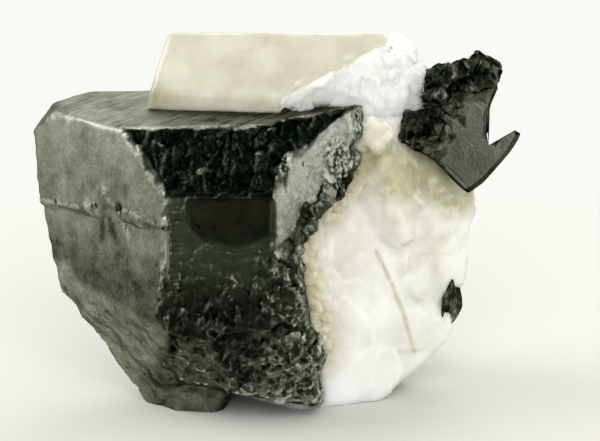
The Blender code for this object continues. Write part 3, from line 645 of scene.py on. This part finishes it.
def calcite(name, deep, pale, colours, clear):
    """Calcite, carbonate of lime: glassy and cloudy, so light sinks in and makes it glow."""
    material, tree, shader = new_material(name)
    coords = add_node(tree, "ShaderNodeTexCoord").outputs["Object"]
    place = add_node(tree, "ShaderNodeMapping", {"Vector": coords, "Scale": (1 / MM, 1 / MM, 1 / MM)})
    stain, warm, broken = [
        add_node(tree, "ShaderNodeAttribute", attribute_name=name).outputs["Fac"]
        for name in ("stain", "warm", "broken")
    ]
    # Clouds in it are about 3 mm wide, and the sugary grains 0.6 mm.
    cloud = add_node(tree, "ShaderNodeTexNoise", {"Vector": place, "Scale": 0.35, "Detail": 5.0, "Roughness": 0.6})
    shade = add_node(tree, "ShaderNodeMapRange", {"Value": cloud, "From Min": 0.35, "From Max": 0.65})
    body = add_node(tree, "ShaderNodeMix", {0: shade, 6: deep, 7: pale}, data_type="RGBA").outputs[2]
    grain = add_node(tree, "ShaderNodeTexNoise", {"Vector": place, "Scale": 1.6, "Detail": 5.0, "Roughness": 0.65})
    patch = add_node(tree, "ShaderNodeMath", {0: grain, 1: 1.8}, operation="MULTIPLY")
    warmed = add_node(tree, "ShaderNodeMath", {0: patch, 1: warm}, operation="MULTIPLY", use_clamp=True)
    body = add_node(
        tree, "ShaderNodeMix", {0: warmed, 6: body, 7: colours["honey_calcite"]}, data_type="RGBA"
    ).outputs[2]
    # The stain colour mixes in real stains and painted shade alike.
    patch = add_node(tree, "ShaderNodeMath", {0: patch, 1: stain}, operation="MULTIPLY", use_clamp=True)
    stained = add_node(
        tree, "ShaderNodeMix", {0: patch, 6: body, 7: colours["stained_calcite"]}, data_type="RGBA"
    ).outputs[2]
    colour = add_node(
        tree, "ShaderNodeMix", {0: broken, 6: stained, 7: colours["broken_calcite"]}, data_type="RGBA"
    ).outputs[2]
    bump = add_node(tree, "ShaderNodeBump", {"Strength": 0.4, "Distance": 0.00008, "Height": grain})
    tree.links.new(colour, shader.inputs["Base Color"])
    tree.links.new(bump.outputs[0], shader.inputs["Normal"])
    shader.inputs["Roughness"].default_value = 0.3
    shader.inputs["IOR"].default_value = 1.6
    shader.inputs["Transmission Weight"].default_value = clear
    shader.inputs["Subsurface Weight"].default_value = 1.0
    shader.inputs["Subsurface Radius"].default_value = (1.0, 0.95, 0.8)
    shader.inputs["Subsurface Scale"].default_value = 0.0009
    return material


def colour_setting(name, description, default):
    """A colour that a user can change, with its default as an sRGB hex colour."""
    return bpy.props.FloatVectorProperty(name=name, description=description, subtype="COLOR", default=linear(default))


class SpecimenSettings(bpy.types.PropertyGroup):
    """The sizes and colours of the specimen that a user would change."""

    crystal_skin: bpy.props.FloatProperty(
        name="Crystal skin", description="Fineness of the large crystal's skin, in millimetres", default=0.085, min=0.05
    )
    calcite_skin: bpy.props.FloatProperty(
        name="Calcite skin", description="Fineness of the calcite's skin, in millimetres", default=0.09, min=0.05
    )
    blade_skin: bpy.props.FloatProperty(
        name="Blade skin",
        description="Fineness of the blade's, the chip's and the ragged rim's skin, in millimetres",
        default=0.055,
        min=0.03,
    )
    triangles: bpy.props.IntProperty(
        name="Triangles", description="Most triangles in one piece", default=190000, min=10000, max=199000
    )
    # The ore's colours run from clean to black along the tarnish mask, which also paints shade and reflection; the
    # burnished colour paints glints and highlights as well as rubbed edges.
    clean_ore: colour_setting("Clean ore", "Untarnished acanthite", "#c8ccbf")
    olive_ore: colour_setting("Olive ore", "Half tarnished acanthite", "#858879")
    black_ore: colour_setting("Black ore", "Fully tarnished acanthite", "#0e1e14")
    burnished_ore: colour_setting("Burnished ore", "Rubbed edges and crests", "#dfe3d8")
    cream_deep: colour_setting("Tablet, deep", "The tablet's darker clouds", "#c7c2af")
    cream_pale: colour_setting("Tablet, pale", "The tablet's lighter clouds", "#dfdccd")
    white_deep: colour_setting("Matrix, deep", "The matrix's darker clouds", "#dcdcd7")
    white_pale: colour_setting("Matrix, pale", "The matrix's lighter clouds", "#efefed")
    # The stained colour paints shade under the blade and the knob as well as ore dust stains.
    stained_calcite: colour_setting("Stained calcite", "Where ore dust has stained it", "#afab86")
    honey_calcite: colour_setting("Honey calcite", "The warm grains along the seam", "#c4ba9c")
    broken_calcite: colour_setting("Broken calcite", "Fresh white fracture", "#fdfcf6")
    paper: colour_setting("Paper", "The pale floor", "#c2c1bc")
    tent: colour_setting("Light tent", "The white round the specimen", "#f9faf5")


def chosen():
    """The settings, and their colours ready for a shader."""
    settings = bpy.context.scene.specimen
    values = {name: getattr(settings, name) for name in SpecimenSettings.__annotations__}
    return settings, {name: (*value, 1.0) for name, value in values.items() if not isinstance(value, (int, float))}


def mixed(values, weights, target):
    """Values drawn towards a target by weights."""
    return values + (target - values) * weights


def crystal_zones(piece):
    """Masks for the parts of the large crystal's surface, from where each point is and how it faces."""
    places, normals = surface(piece)
    x, height = seen(places).T

    def border(line):
        return np.interp(x, *np.array(line).T)

    left_edge = np.interp(height, *np.array(LEFT_EDGE).T[::-1])
    ledge = np.interp(x, [p[0] for p in GROWTH_LEDGE], [p[2] for p in GROWTH_LEDGE])
    top = facing(normals, TOP_FACE, 0.85, 0.1)
    blurred = 0.1 + 1.2 * soft_step(5.4 - height, 1.0)
    left = soft_step(left_edge - x, blurred) * facing(normals, LEFT_FACE, 0.25, 0.3) * (1 - top)
    silver = soft_step(border(SILVER_TOP) - height, 0.15) * soft_step(height - border(SILVER_FOOT), 0.3)
    silver *= soft_step(x + 1.68, 0.1) * facing(normals, SILVER_FACE, 0.3, 0.3)
    bevel = facing(normals, BAND_FACE, 0.45, 0.2) * soft_step(height - BAND_FOOT, 0.1)
    bevel *= soft_step(x - left_edge - 0.12, 0.12) * (1 - silver) * (1 - top)
    front = facing(normals, FRONT_FACE, 0.8, 0.2) * soft_step(BAND_FOOT - height, 0.1)
    foot_line = np.interp(x, [p[0] for p in PANEL_FOOT], [p[2] for p in PANEL_FOOT], left=99.0)
    panel = front * soft_step(height - foot_line, 0.25)
    rough = np.maximum(near_route(places, RIM, 1.5), near_route(places, ROUGH_CORNER, 2.2))
    return {
        "top": top,
        "left": left,
        "below": left * soft_step(ledge - places[:, 2], 0.2),
        "low": left * soft_step(border(LOWER_LEFT_CREASE) - height, 0.8),
        "silver": silver,
        "bevel": bevel,
        "front": front,
        "panel": panel,
        "striae": front * soft_step(-6.4 - x, 0.4) * soft_step(x - left_edge - 0.3, 0.3) * soft_step(height - 8.4, 0.5),
        "under": front * soft_step(9.2 - height, 1.8),
        "rough": rough * (1 - silver) * (1 - facing(normals, SEAM_FACE, 0.5)),
        "foot": soft_step(5.9 - height, 0.8) * (1 - left) * (1 - facing(normals, SEAM_FACE, 0.5)),
    }


def fill_furrows(piece):
    """Fills two furrows of the solid's left face, which are only dark streaks on the real one."""
    for route, width in ((FURROWS[0], 2.4), (FURROWS[2], 1.7)):
        places, normals = surface(piece)
        gap = 1 - near_route(places, route, width)
        # The untouched face in a ring round the furrow gives the plane that it is filled up to.
        round_it = np.flatnonzero((gap > 0.6) & (gap < 0.99) & (facing(normals, LEFT_FACE, 0.8) > 0.5))
        plane = np.column_stack([places[:, 0], places[:, 2], np.ones(len(places))])
        depth, *_ = np.linalg.lstsq(plane[round_it], places[round_it, 1], rcond=None)
        level = plane @ depth
        inside = soft_step(0.4 - gap, 0.4) * soft_step(0.9 - np.abs(places[:, 1] - level), 0.3)
        places[:, 1] = mixed(places[:, 1], inside, level)
        mould(piece, places)


def even_silver(piece):
    """Runs the silver facet through to its bulge on the right in one even sweep."""
    places = surface(piece)[0]
    x, height = seen(places).T
    top, foot, sweep = [np.interp(x, *np.array(line).T) for line in (SILVER_TOP, SILVER_FOOT, SILVER_SWEEP)]
    inside = soft_step(top - 0.2 - height, 0.4) * soft_step(height - foot, 0.4)
    inside *= soft_step(x + 0.9, 0.6) * soft_step(2.9 - x, 0.6) * soft_step(1.3 - np.abs(places[:, 1] - sweep), 0.4)
    places[:, 1] = mixed(places[:, 1], inside, sweep)
    mould(piece, places)


def flatten_front(piece):
    """Takes the steps between the crystal's blocks off its front face."""
    places, normals = surface(piece)
    x, height = seen(places).T
    flat = facing(normals, FRONT_FACE, 0.1, 0.2) * soft_step(x + 7.35, 0.3) * soft_step(-1.6 - x, 0.2)
    flat *= soft_step(BAND_FOOT - 0.1 - height, 0.2) * soft_step(places[:, 2] - 6.1, 1.2)
    places[:, 1] = mixed(places[:, 1], flat, FRONT_LEAN * soft_step(10.4 - places[:, 2], 5.0) - SWELL)
    mould(piece, places)


def crystal_relief(piece, zones):
    """The relief of the large crystal's faces, from coarse to fine."""
    places = surface(piece)[0]
    relax(piece, zones["silver"], rounds=60)
    push(piece, everywhere(piece), 0.1, waves(2.4))
    push(piece, zones["panel"], 0.04)
    splinter(piece, zones["bevel"], count=80, tilt=0.2, step=0.04, seed=1, stretch=(0.6, 1.0, 1.4))
    splinter(piece, zones["rough"], count=70, tilt=0.26, step=0.1, seed=2)
    relax(piece, np.maximum(zones["bevel"], zones["rough"]), rounds=4)
    relax(piece, zones["under"] * (1 - zones["rough"]), rounds=60)
    push(piece, zones["front"] - zones["panel"], 0.4, waves(0.8, depth=3), stretch=(1, 1, 0.8))
    push(piece, zones["under"], 0.16, waves(1.1, depth=3), stretch=(0.7, 1, 1.3))
    push(piece, zones["low"], 0.3, waves(1.5, depth=3))
    push(piece, zones["foot"] * soft_step(places[:, 2] - 1.6, 0.8), 0.4, waves(1.5, depth=3))
    push(piece, zones["below"], 0.16, waves(1.4, depth=3), stretch=(1, 1, 1.6))

    places = surface(piece)[0]
    splinter(piece, zones["bevel"], count=300, tilt=0.12, step=0.015, seed=5, stretch=(0.6, 1.0, 1.4))
    flaky = zones["under"] * (1 - zones["rough"])
    splinter(piece, flaky, count=220, tilt=0.07, step=0.01, seed=15, stretch=(0.6, 1.0, 1.6))
    splinter(piece, zones["rough"], count=300, tilt=0.22, step=0.025, seed=6)
    tongue = near_spot(places, TONGUE, TONGUE_WIDTH)
    flaky = np.maximum(zones["foot"], zones["low"]) * (1 - tongue)
    splinter(piece, flaky, count=400, tilt=0.07, step=0.01, seed=7)
    relax(piece, tongue, rounds=30)
    relax(piece, np.max([zones["rough"], zones["foot"], zones["low"]], axis=0), rounds=2)
    splinter(piece, near_route(places, GROWTH_LEDGE, 0.4), count=70, tilt=0.18, step=0.03, seed=8)
    push(piece, zones["left"], 0.07, waves(0.7, depth=3))
    push(piece, zones["silver"], 0.16, waves(1.6, depth=3))
    push(piece, near_spot(places, LEDGE_HOLE, 0.38), -0.4)
    push(piece, near_routes(places, LEDGE_PITS, 0.4), -0.3, waves(0.3))
    striae = zones["striae"] * (0.5 + 0.5 * np.sin(places[:, 2] * math.tau / 0.3 + 0.8 * np.sin(places[:, 0] * 3)))
    push(piece, striae, -0.02)
    for drop in (0, -0.26, -0.52):
        push(piece, zones["front"] * near_route(places + np.array((0, 0, -drop)), PANEL_FOOT[2:], 0.16), 0.05)
    push(piece, near_routes(places, BAND_SLIVERS, 0.3), 0.16)
    push(piece, near_routes(places, FRONT_SLIVERS[:5], 0.2), 0.06)
    push(piece, near_routes(places, FRONT_SLIVERS[5:], 0.2), 0.12)
    push(piece, near_routes(places, FRONT_RIBS, 0.26), 0.05)
    push(piece, near_routes(places, FURROWS, 0.5), -0.16, waves(0.25))
    push(piece, near_routes(places, FRONT_HOLLOWS, 0.45), -0.3)
    push(piece, near_routes(places, SILVER_DASHES, 0.16), -0.03)
    push(piece, near_route(seen(places), POCKET, 1.0) * zones["silver"], -0.5, waves(0.45))


def shard_tones(places, count, seed):
    """A tone from 0 to 1 for each point, the same all over each of that many shards."""
    chance = np.random.default_rng(seed)
    tree = KDTree(count)
    for index, spot in enumerate(chance.choice(len(places), count, replace=False)):
        tree.insert(places[spot], index)
    tree.balance()
    return chance.random(count)[[tree.find(place)[1] for place in places]]


def crystal_masks(piece, zones):
    """How tarnished and painted with shade, how worn and painted with glints, and how finely lined the large crystal is
    at each point.
    """
    places, normals = surface(piece)
    view = seen(places)
    x, _, z = places.T
    crest = crests(piece, reach=6)
    # Zone by zone the tarnish mask sets how dark each face looks: partly real tarnish, partly painted shade and painted
    # reflection, black on the bevel, darker towards the foot of the left, silver and lower front faces, and darker
    # towards the tablet's painted shadow on the top face.
    tarnish = np.full(len(x), 0.7)
    for zone, depth in (
        ("top", 0.34 + 0.36 * soft_step(x + 7.0, 5.0)),
        ("left", 0.45 + 0.12 * soft_step(15 - z, 3)),
        ("below", 0.6 + 0.2 * soft_step(9.6 - z, 2.5)),
        ("low", 0.55),
        ("front", 0.05),
        ("panel", 0.66),
        ("under", 0.42 + 0.36 * soft_step(8.0 - view[:, 1], 1.6)),
        ("foot", 0.9 - 0.2 * shard_tones(places, count=3000, seed=24)),
        ("bevel", 0.96),
        ("rough", 0.72 - 0.66 * shard_tones(places, count=4000, seed=21) ** 2),
        ("silver", 0.04 + 0.26 * soft_step(13.6 - z, 2.5)),
    ):
        tarnish = mixed(tarnish, zones[zone], depth)
    tarnish = mixed(tarnish, near_spot(places, TONGUE, TONGUE_WIDTH), 0.74)
    # Painted shade: hollows are made darker.
    hollows = soft_step(-0.03 - crest, 0.05) * (1 - zones["top"])
    tarnish = tarnish + 0.3 * hollows
    # Painted shade in the ledge's hole and its pits.
    tarnish = mixed(tarnish, near_spot(places, LEDGE_HOLE, 0.5), 1.0)
    tarnish = mixed(tarnish, 0.6 * near_routes(places, LEDGE_PITS, 0.4), 0.9)
    # Painted shade along the band's edge, which takes the edge's reflection and glints off there.
    band_edge = near_route(view, BAND_EDGE, 0.7)
    tarnish = mixed(tarnish, band_edge, 0.97)
    # Painted shade in the silver facet's pocket.
    tarnish = mixed(tarnish, near_route(view, POCKET, 1.3) * zones["silver"], 0.88)
    tarnish = mixed(tarnish, near_route(view, SILVER_RIM, 0.8) * facing(normals, SILVER_FACE, 0.2), 0.85)
    tarnish = mixed(tarnish, near_routes(places, SILVER_DASHES, 0.16), 0.95)
    tarnish = mixed(tarnish, 0.7 * near_routes(places, FURROWS, 0.5), 0.95)
    # The wear mask is mostly painted highlight: painted glints along the left arris and ridge, the growth ledge, the
    # slivers, the hairline and the crests of rough zones, and a painted sheen on the silver facet that grows brighter
    # to the right; some of it is real rubbed wear.
    edges = np.maximum(0.7 * near_route(places, LEFT_ARRIS, 0.2), 0.6 * near_route(places, LEFT_RIDGE, 0.4))
    slivers = near_routes(places, [*BAND_SLIVERS, *FRONT_SLIVERS[5:], *BAND_HAIRLINES], 0.2)
    slivers = np.maximum(slivers, 0.4 * near_routes(places, FRONT_SLIVERS[:5], 0.16))
    hairline = 0.9 * near_route(view, SILVER_TOP, 0.16) * near_route(places, SILVER_EDGE, 2.5)
    patches = zones["silver"] * (0.8 + 0.8 * soft_step(x - 0.5, 1.5)) * shard_tones(places, count=20000, seed=22)
    glints = 0.9 * soft_step(crest - 0.03, 0.06) * np.max([zones["rough"], 0.5 * zones["under"], zones["foot"]], axis=0)
    glints = np.maximum(glints, 0.36 * soft_step(crest - 0.03, 0.03) * zones["bevel"]) * (1 - band_edge)
    worn = np.max([edges, 0.9 * near_route(places, GROWTH_LEDGE, 0.4), slivers, hairline, glints, patches], axis=0)
    return {"tarnish": tarnish, "worn": worn, "lined": zones["top"]}


class SpecimenCrystal(bpy.types.Operator):
    """The large blocky crystal with its growth ledge, crinkled bevel and silver facet."""

    bl_idname = "specimen.crystal"
    bl_label = "Large crystal"

    def execute(self, context):
        settings, colours = chosen()
        parts = [core_of("acanthite_crystal"), wrapped(SILVER_BULGE)]
        piece = fused("blocky_crystal", parts, settings.crystal_skin)
        push(piece, everywhere(piece), SWELL)
        flatten_front(piece)
        fill_furrows(piece)
        even_silver(piece)
        zones = crystal_zones(piece)
        towards_viewer = facing(surface(piece)[1], (-0.3, -0.9, 0.3), 0.1, 0.4)
        crystal_relief(piece, zones)
        paint(piece, **zones)
        thin(piece, settings.triangles, 0.7 * towards_viewer)
        cut_at_table(piece)
        paint(piece, **crystal_masks(piece, taken(piece, zones)))
        finish_piece(piece, "blocky_crystal", "acanthite_crystal", acanthite(colours), crease=35)
        return {"FINISHED"}


class SpecimenRaggedOre(bpy.types.Operator):
    """The ragged rim and corner of the large crystal, a crust of small angular grains of ore."""

    bl_idname = "specimen.ragged_ore"
    bl_label = "Ragged rim"

    def execute(self, context):
        settings, colours = chosen()
        chance = random.Random(4)
        core = core_of("acanthite_crystal")
        rows = (
            (RIM[2:], 32, 0.3, 0.8),
            (RIM, 80, 0.4, 0.36),
            (ROUGH_CORNER, 18, 0.5, 0.9),
            (ROUGH_CORNER, 36, 0.7, 0.4),
        )
        grains = crust(core, cubic_grain, rows, chance, sunk=0.25)
        bpy.data.objects.remove(core)
        piece = fused("ragged_ore", grains, settings.blade_skin)
        splinter(piece, everywhere(piece), count=500, tilt=0.24, step=0.03, seed=9)
        relax(piece, everywhere(piece), rounds=5)
        thin(piece, settings.triangles, 0 * everywhere(piece))
        cut_at_table(piece)
        crest = crests(piece, reach=8)
        tones = shard_tones(surface(piece)[0], count=500, seed=23)
        # Painted shade in the hollows, and painted glints on the crests.
        tarnish = 0.72 - 0.66 * tones**2 + 0.15 * soft_step(-0.03 - crest, 0.08)
        paint(piece, tarnish=tarnish, worn=0.85 * soft_step(crest - 0.04, 0.06), lined=np.zeros(len(crest)))
        finish_piece(piece, "ragged_ore", "acanthite_crystal", acanthite(colours), crease=30)
        return {"FINISHED"}


class SpecimenTablet(bpy.types.Operator):
    """The cream calcite tablet on top, with its chipped and crumbling right-hand end."""

    bl_idname = "specimen.tablet"
    bl_label = "Calcite tablet"

    def execute(self, context):
        settings, colours = chosen()
        piece = fused("calcite_tablet_skin", [core_of("calcite_tablet")], 0.8 * settings.calcite_skin)
        push(piece, everywhere(piece), SWELL)
        places, normals = surface(piece)
        border = np.interp(places[:, 2], [p[2] for p in CHIP_BORDER], [p[0] for p in CHIP_BORDER])
        teeth = 0.22 * np.abs((places[:, 2] / 0.42) % 1.0 - 0.5)
        chip = soft_step(places[:, 0] - border - teeth, 0.12) * soft_step(10.5 - places[:, 1], 1.0)
        push(piece, chip, -0.1)
        splinter(piece, chip, count=110, tilt=0.17, step=0.05, seed=12, stretch=(1.0, 1.0, 1.3))
        splinter(piece, chip, count=500, tilt=0.17, step=0.02, seed=13)
        relax(piece, chip, rounds=2)
        push(piece, 1 - chip, 0.07, waves(3.0))
        low = facing(normals, FRONT_FACE, 0.6) * soft_step(18.3 - places[:, 2], 0.8) * (1 - chip)
        push(piece, low, 0.08, waves(0.5), stretch=(0.35, 1.0, 3.0))
        places = surface(piece)[0]
        dusty = near_spot(places, DUSTY_CORNER, 1.4)
        streaked = 0.1 * low * (0.5 + 0.5 * np.sin(places[:, 0] * 5 + 2 * np.sin(places[:, 0] * 1.7 + places[:, 2])))
        paint(piece, stain=np.maximum(dusty, streaked), warm=np.zeros(len(chip)), broken=chip)
        material = calcite("glassy_calcite", colours["cream_deep"], colours["cream_pale"], colours, clear=0.35)
        finish_piece(piece, "cream_tablet", "calcite_tablet", material, crease=35)
        return {"FINISHED"}


class SpecimenMatrix(bpy.types.Operator):
    """The white calcite that everything grows on, with its crumbling stained seam and its crack."""

    bl_idname = "specimen.matrix"
    bl_label = "Calcite matrix"

    def execute(self, context):
        settings, colours = chosen()
        chance = random.Random(11)
        core = core_of("calcite_matrix")
        knob = behind(core, KNOB, 0)
        seam_rows = ((CRUMB_SEAM, 160, 0.6, 0.34), (CRUMB_SEAM, 320, 1.0, 0.2))
        knob_rows = ((knob, 6, 0.3, 0.8), (knob, 36, 0.7, 0.36))
        crumbs = crust(core, rhomb_grain, seam_rows, chance, sunk=0.2)
        crumbs += crust(core, rhomb_grain, knob_rows, chance, sunk=0.1)
        piece = fused("white_matrix", [core, *crumbs], settings.calcite_skin)
        push(piece, everywhere(piece), SWELL)
        places, normals = surface(piece)
        seam = near_route(places, CRUMB_SEAM, 1.2)
        push(piece, 1 - seam, -0.2, hackle(3.2))
        splinter(piece, 1 - seam, count=200, tilt=0.045, step=0.012, seed=14)
        relax(piece, 1 - seam, rounds=8)
        push(piece, near_route(seen(places), seen(MATRIX_CRACK), 0.24) * facing(normals, FRONT_FACE, 0), -0.04)
        thin(piece, settings.triangles, facing(normals, (0.3, -0.9, 0.2), 0.0, 0.4))
        cut_at_table(piece)
        places = surface(piece)[0]
        view = seen(places)
        warm = near_route(view, seen(CRUMB_SEAM), 2.3)
        warm = np.maximum(warm, 0.3 * near_route(view, seen(CRUMB_SEAM[:6]), 7.5))
        warm = np.maximum(warm, 0.5 * near_route(view, KNOB, 1.4))
        # The stain mask is partly painted shade: painted shade under the knob, along the crack's crease and over the
        # greyer right side, and the painted shadow of the blade in the khaki shade; the rest is stain and grey mottles.
        stain = np.maximum(near_route(view, KNOB_FOOT, 1.3), 0.3 * near_route(view, KNOB, 1.6))
        stain = np.maximum(stain, 0.6 * near_route(view, seen(MATRIX_CRACK), 0.3))
        stain = np.maximum(stain, 0.4 * near_routes(view, [seen(route) for route in MATRIX_MOTTLE], 1.0))
        stain = np.maximum(stain, 1.4 * near_route(view, seen(KHAKI_SHADE), 2.8))
        stain = np.maximum(stain, 0.18 * soft_step(places[:, 0] - 5.5, 3.0))
        paint(piece, stain=stain, warm=warm, broken=np.zeros(len(places)))
        material = calcite("sugary_calcite", colours["white_deep"], colours["white_pale"], colours, clear=0.15)
        finish_piece(piece, "white_matrix", "calcite_matrix", material, crease=35)
        return {"FINISHED"}


def narrow_spike(piece):
    """Slopes the spike's top down behind its front edge, so that it ends thin."""
    places = surface(piece)[0]
    x, height = seen(places).T
    edge = np.interp(x, *np.array(SPIKE_TOP).T)
    inside = soft_step(x - 10.87, 0.15) * soft_step(19.0 - height, 0.2)
    places[:, 2] -= np.maximum(height - edge, 0) * inside
    mould(piece, places)


class SpecimenDarkPieces(bpy.types.Operator):
    """The spiked blade of ore high on the right, and the small dark chip in the matrix's edge."""

    bl_idname = "specimen.dark_pieces"
    bl_label = "Blade and chip"

    def execute(self, context):
        settings, colours = chosen()
        chance = random.Random(23)
        core = core_of("acanthite_blade")
        spots = settled(spots_along(BLADE_LUMPS, 26, 0.5, chance), core, 0.2)
        lumps = scattered(cubic_grain(), spots, 0.9, chance)
        blade = fused("spiked_blade", [core, *lumps], settings.blade_skin)
        knotty = near_route(surface(blade)[0], BLADE_LUMPS, 2.4)
        push(blade, everywhere(blade), SWELL * 0.5)
        narrow_spike(blade)
        splinter(blade, knotty, count=60, tilt=0.3, step=0.1, seed=10)
        relax(blade, knotty, rounds=8)

        matrix = core_of("calcite_matrix")
        arrow = [wrapped(behind(matrix, spots, -out) + behind(matrix, spots, 0.5)) for out, spots in CHIP_ARROW]
        bpy.data.objects.remove(matrix)
        chip = fused("dark_chip", [core_of("acanthite_chip"), *arrow], settings.blade_skin)
        for piece, name, node, lumpy in (
            (blade, "spiked_blade", "acanthite_blade", knotty),
            (chip, "dark_chip", "acanthite_chip", 0.7 * everywhere(chip)),
        ):
            push(piece, lumpy, 0.25, waves(0.7, depth=3))
            push(piece, 1 - lumpy, 0.05, waves(1.2))
            crest = crests(piece, reach=8)
            front = facing(surface(piece)[1], FRONT_FACE, 0.9, 0.08)
            flecked = shard_tones(surface(piece)[0], count=900, seed=25) ** 2
            # The flat front face is painted lighter, crests of the flat faces are painted darker to take their
            # reflection off, hollows get painted shade, and crests of the lumps get painted glints.
            tarnish = mixed(0.85 + lumpy * (0.12 - 0.4 * flecked), front * (1 - lumpy), 0.2)
            tarnish += 0.4 * soft_step(crest - 0.03, 0.04) * (1 - lumpy)
            paint(
                piece,
                worn=0.7 * soft_step(crest - 0.06, 0.06) * lumpy,
                tarnish=tarnish + 0.2 * soft_step(-0.02 - crest, 0.05),
                lined=np.zeros(len(lumpy)),
            )
            finish_piece(piece, name, node, acanthite(colours), crease=35)
        return {"FINISHED"}


class SpecimenStage(bpy.types.Operator):
    """The pale paper floor, the soft studio light and the camera."""

    bl_idname = "specimen.stage"
    bl_label = "Stage"

    def execute(self, context):
        colours = chosen()[1]
        bpy.ops.object.select_all(action="DESELECT")
        bpy.ops.mesh.primitive_plane_add(size=3.0)
        floor = bpy.context.active_object
        floor.name = "paper_floor"
        # Matt paper takes soft shadows near the specimen, and further off it is lost in the tent's white.
        material, tree, shader = new_material("white_paper")
        coords = add_node(tree, "ShaderNodeTexCoord").outputs["Object"]
        away = add_node(tree, "ShaderNodeVectorMath", {0: coords}, operation="LENGTH").outputs["Value"]
        fade = add_node(
            tree,
            "ShaderNodeMapRange",
            {"Value": away, "From Min": 0.024, "From Max": 0.07},
            interpolation_type="SMOOTHSTEP",
        )
        glow = add_node(tree, "ShaderNodeEmission", {"Color": colours["tent"], "Strength": 1.0})
        mixed_paper = add_node(tree, "ShaderNodeMixShader", {0: fade, 1: shader, 2: glow})
        tree.links.new(mixed_paper.outputs[0], tree.nodes["Material Output"].inputs["Surface"])
        shader.inputs["Base Color"].default_value = colours["paper"]
        shader.inputs["Roughness"].default_value = 0.9
        shader.inputs["Specular IOR Level"].default_value = 0.1
        floor.data.materials.append(material)
        black_card()

        world = bpy.data.worlds.new("white_tent")
        context.scene.world = world
        world.use_nodes = True
        world.node_tree.nodes["Background"].inputs["Color"].default_value = colours["tent"]
        middle = Vector((0, 0, 0.01))
        for name, place, size, power in [
            ("left_light", (-0.22, 0.02, 0.2), 0.18, 0.4),
            ("right_light", (0.24, 0.0, 0.14), 0.14, 0.08),
            ("back_light", (0.05, 0.2, 0.22), 0.15, 0.3),
            ("front_light", (0.03, -0.25, 0.16), 0.2, 0.63),
        ]:
            light = bpy.data.lights.new(name, "AREA")
            light.energy = power
            light.size = size
            lamp = bpy.data.objects.new(name, light)
            lamp.visible_glossy = name in ("left_light", "back_light")
            lamp.location = place
            lamp.rotation_euler = (middle - Vector(place)).to_track_quat("-Z", "Y").to_euler()
            context.scene.collection.objects.link(lamp)

        target = (CAMERA_AIM + DRAWING_ORIGIN) * MM
        lens = bpy.data.cameras.new("camera")
        lens.sensor_width = 36
        lens.lens = lens.sensor_width * CAMERA_DISTANCE / SHOWN_WIDTH
        lens.clip_start = MM
        camera = bpy.data.objects.new("camera", lens)
        back = Vector((0, -math.cos(VIEW_TILT), math.sin(VIEW_TILT)))
        camera.location = target + back * CAMERA_DISTANCE * MM
        camera.rotation_euler = (math.pi / 2 - VIEW_TILT, 0, 0)
        context.scene.collection.objects.link(camera)
        context.scene.camera = camera
        context.scene.view_settings.view_transform = "Standard"
        return {"FINISHED"}


def black_card():
    """A curved black card in front and overhead, which only the glossy faces see."""
    bpy.ops.object.select_all(action="DESELECT")
    bpy.ops.mesh.primitive_plane_add(size=0.056, location=(0, -0.036, 0.0006))
    card = bpy.context.active_object
    card.name = "black_card"
    # Its near edge is what the steps pull out, forwards and then up and over.
    for vertex in card.data.vertices:
        vertex.select = vertex.co.y < 0
    bpy.ops.object.mode_set(mode="EDIT")
    bpy.ops.mesh.select_mode(type="VERT")
    bpy.ops.transform.resize(value=(1.7, 1, 1))
    for step, widen in [
        ((0, -0.086, 0), 2.0),
        ((0, -0.035, 0.07), 1.2),
        ((0, 0.02, 0.1), 1.3),
        ((0, 0.07, 0.07), 1.3),
        ((0, 0.09, 0.02), 1.0),
        ((0, 0.04, 0), 1.0),
    ]:
        bpy.ops.mesh.extrude_region_move(TRANSFORM_OT_translate={"value": step})
        bpy.ops.transform.resize(value=(widen, 1, 1))
    end_edit()
    bpy.ops.object.transform_apply(location=True, rotation=True, scale=True)
    # Matt black card that has faded a little towards green, which the crystal's front face mirrors.
    material, _, shader = new_material("black_card")
    shader.inputs["Base Color"].default_value = (*linear("#21281d"), 1)
    shader.inputs["Roughness"].default_value = 1.0
    shader.inputs["Specular IOR Level"].default_value = 0.0
    card.data.materials.append(material)
    card.visible_camera = False
    card.visible_diffuse = False
    card.visible_transmission = False
    card.visible_shadow = False
    return card


class SpecimenPanel(bpy.types.Panel):
    """Lists the specimen's settings and pieces."""

    bl_idname = "VIEW3D_PT_specimen"
    bl_label = "Specimen"
    bl_space_type = "VIEW_3D"
    bl_region_type = "UI"
    bl_category = "Specimen"

    def draw(self, context):
        for name in SpecimenSettings.__annotations__:
            self.layout.prop(context.scene.specimen, name)
        for operator in OPERATORS:
            self.layout.operator(operator.bl_idname)


OPERATORS = (SpecimenStage, SpecimenCrystal, SpecimenRaggedOre, SpecimenTablet, SpecimenMatrix, SpecimenDarkPieces)


def register():
    """Adds the classes and the settings to Blender."""
    for kind in (SpecimenSettings, *OPERATORS, SpecimenPanel):
        bpy.utils.register_class(kind)
    bpy.types.Scene.specimen = bpy.props.PointerProperty(type=SpecimenSettings)


def unregister():
    """Takes the classes and the settings out of Blender again."""
    del bpy.types.Scene.specimen
    for kind in (SpecimenPanel, *reversed(OPERATORS), SpecimenSettings):
        bpy.utils.unregister_class(kind)


def main():
    """Builds the stage and the specimen."""
    register()
    bpy.ops.specimen.stage()
    bpy.ops.specimen.crystal()
    bpy.ops.specimen.ragged_ore()
    bpy.ops.specimen.tablet()
    bpy.ops.specimen.matrix()
    bpy.ops.specimen.dark_pieces()


if __name__ == "__main__":
    main()
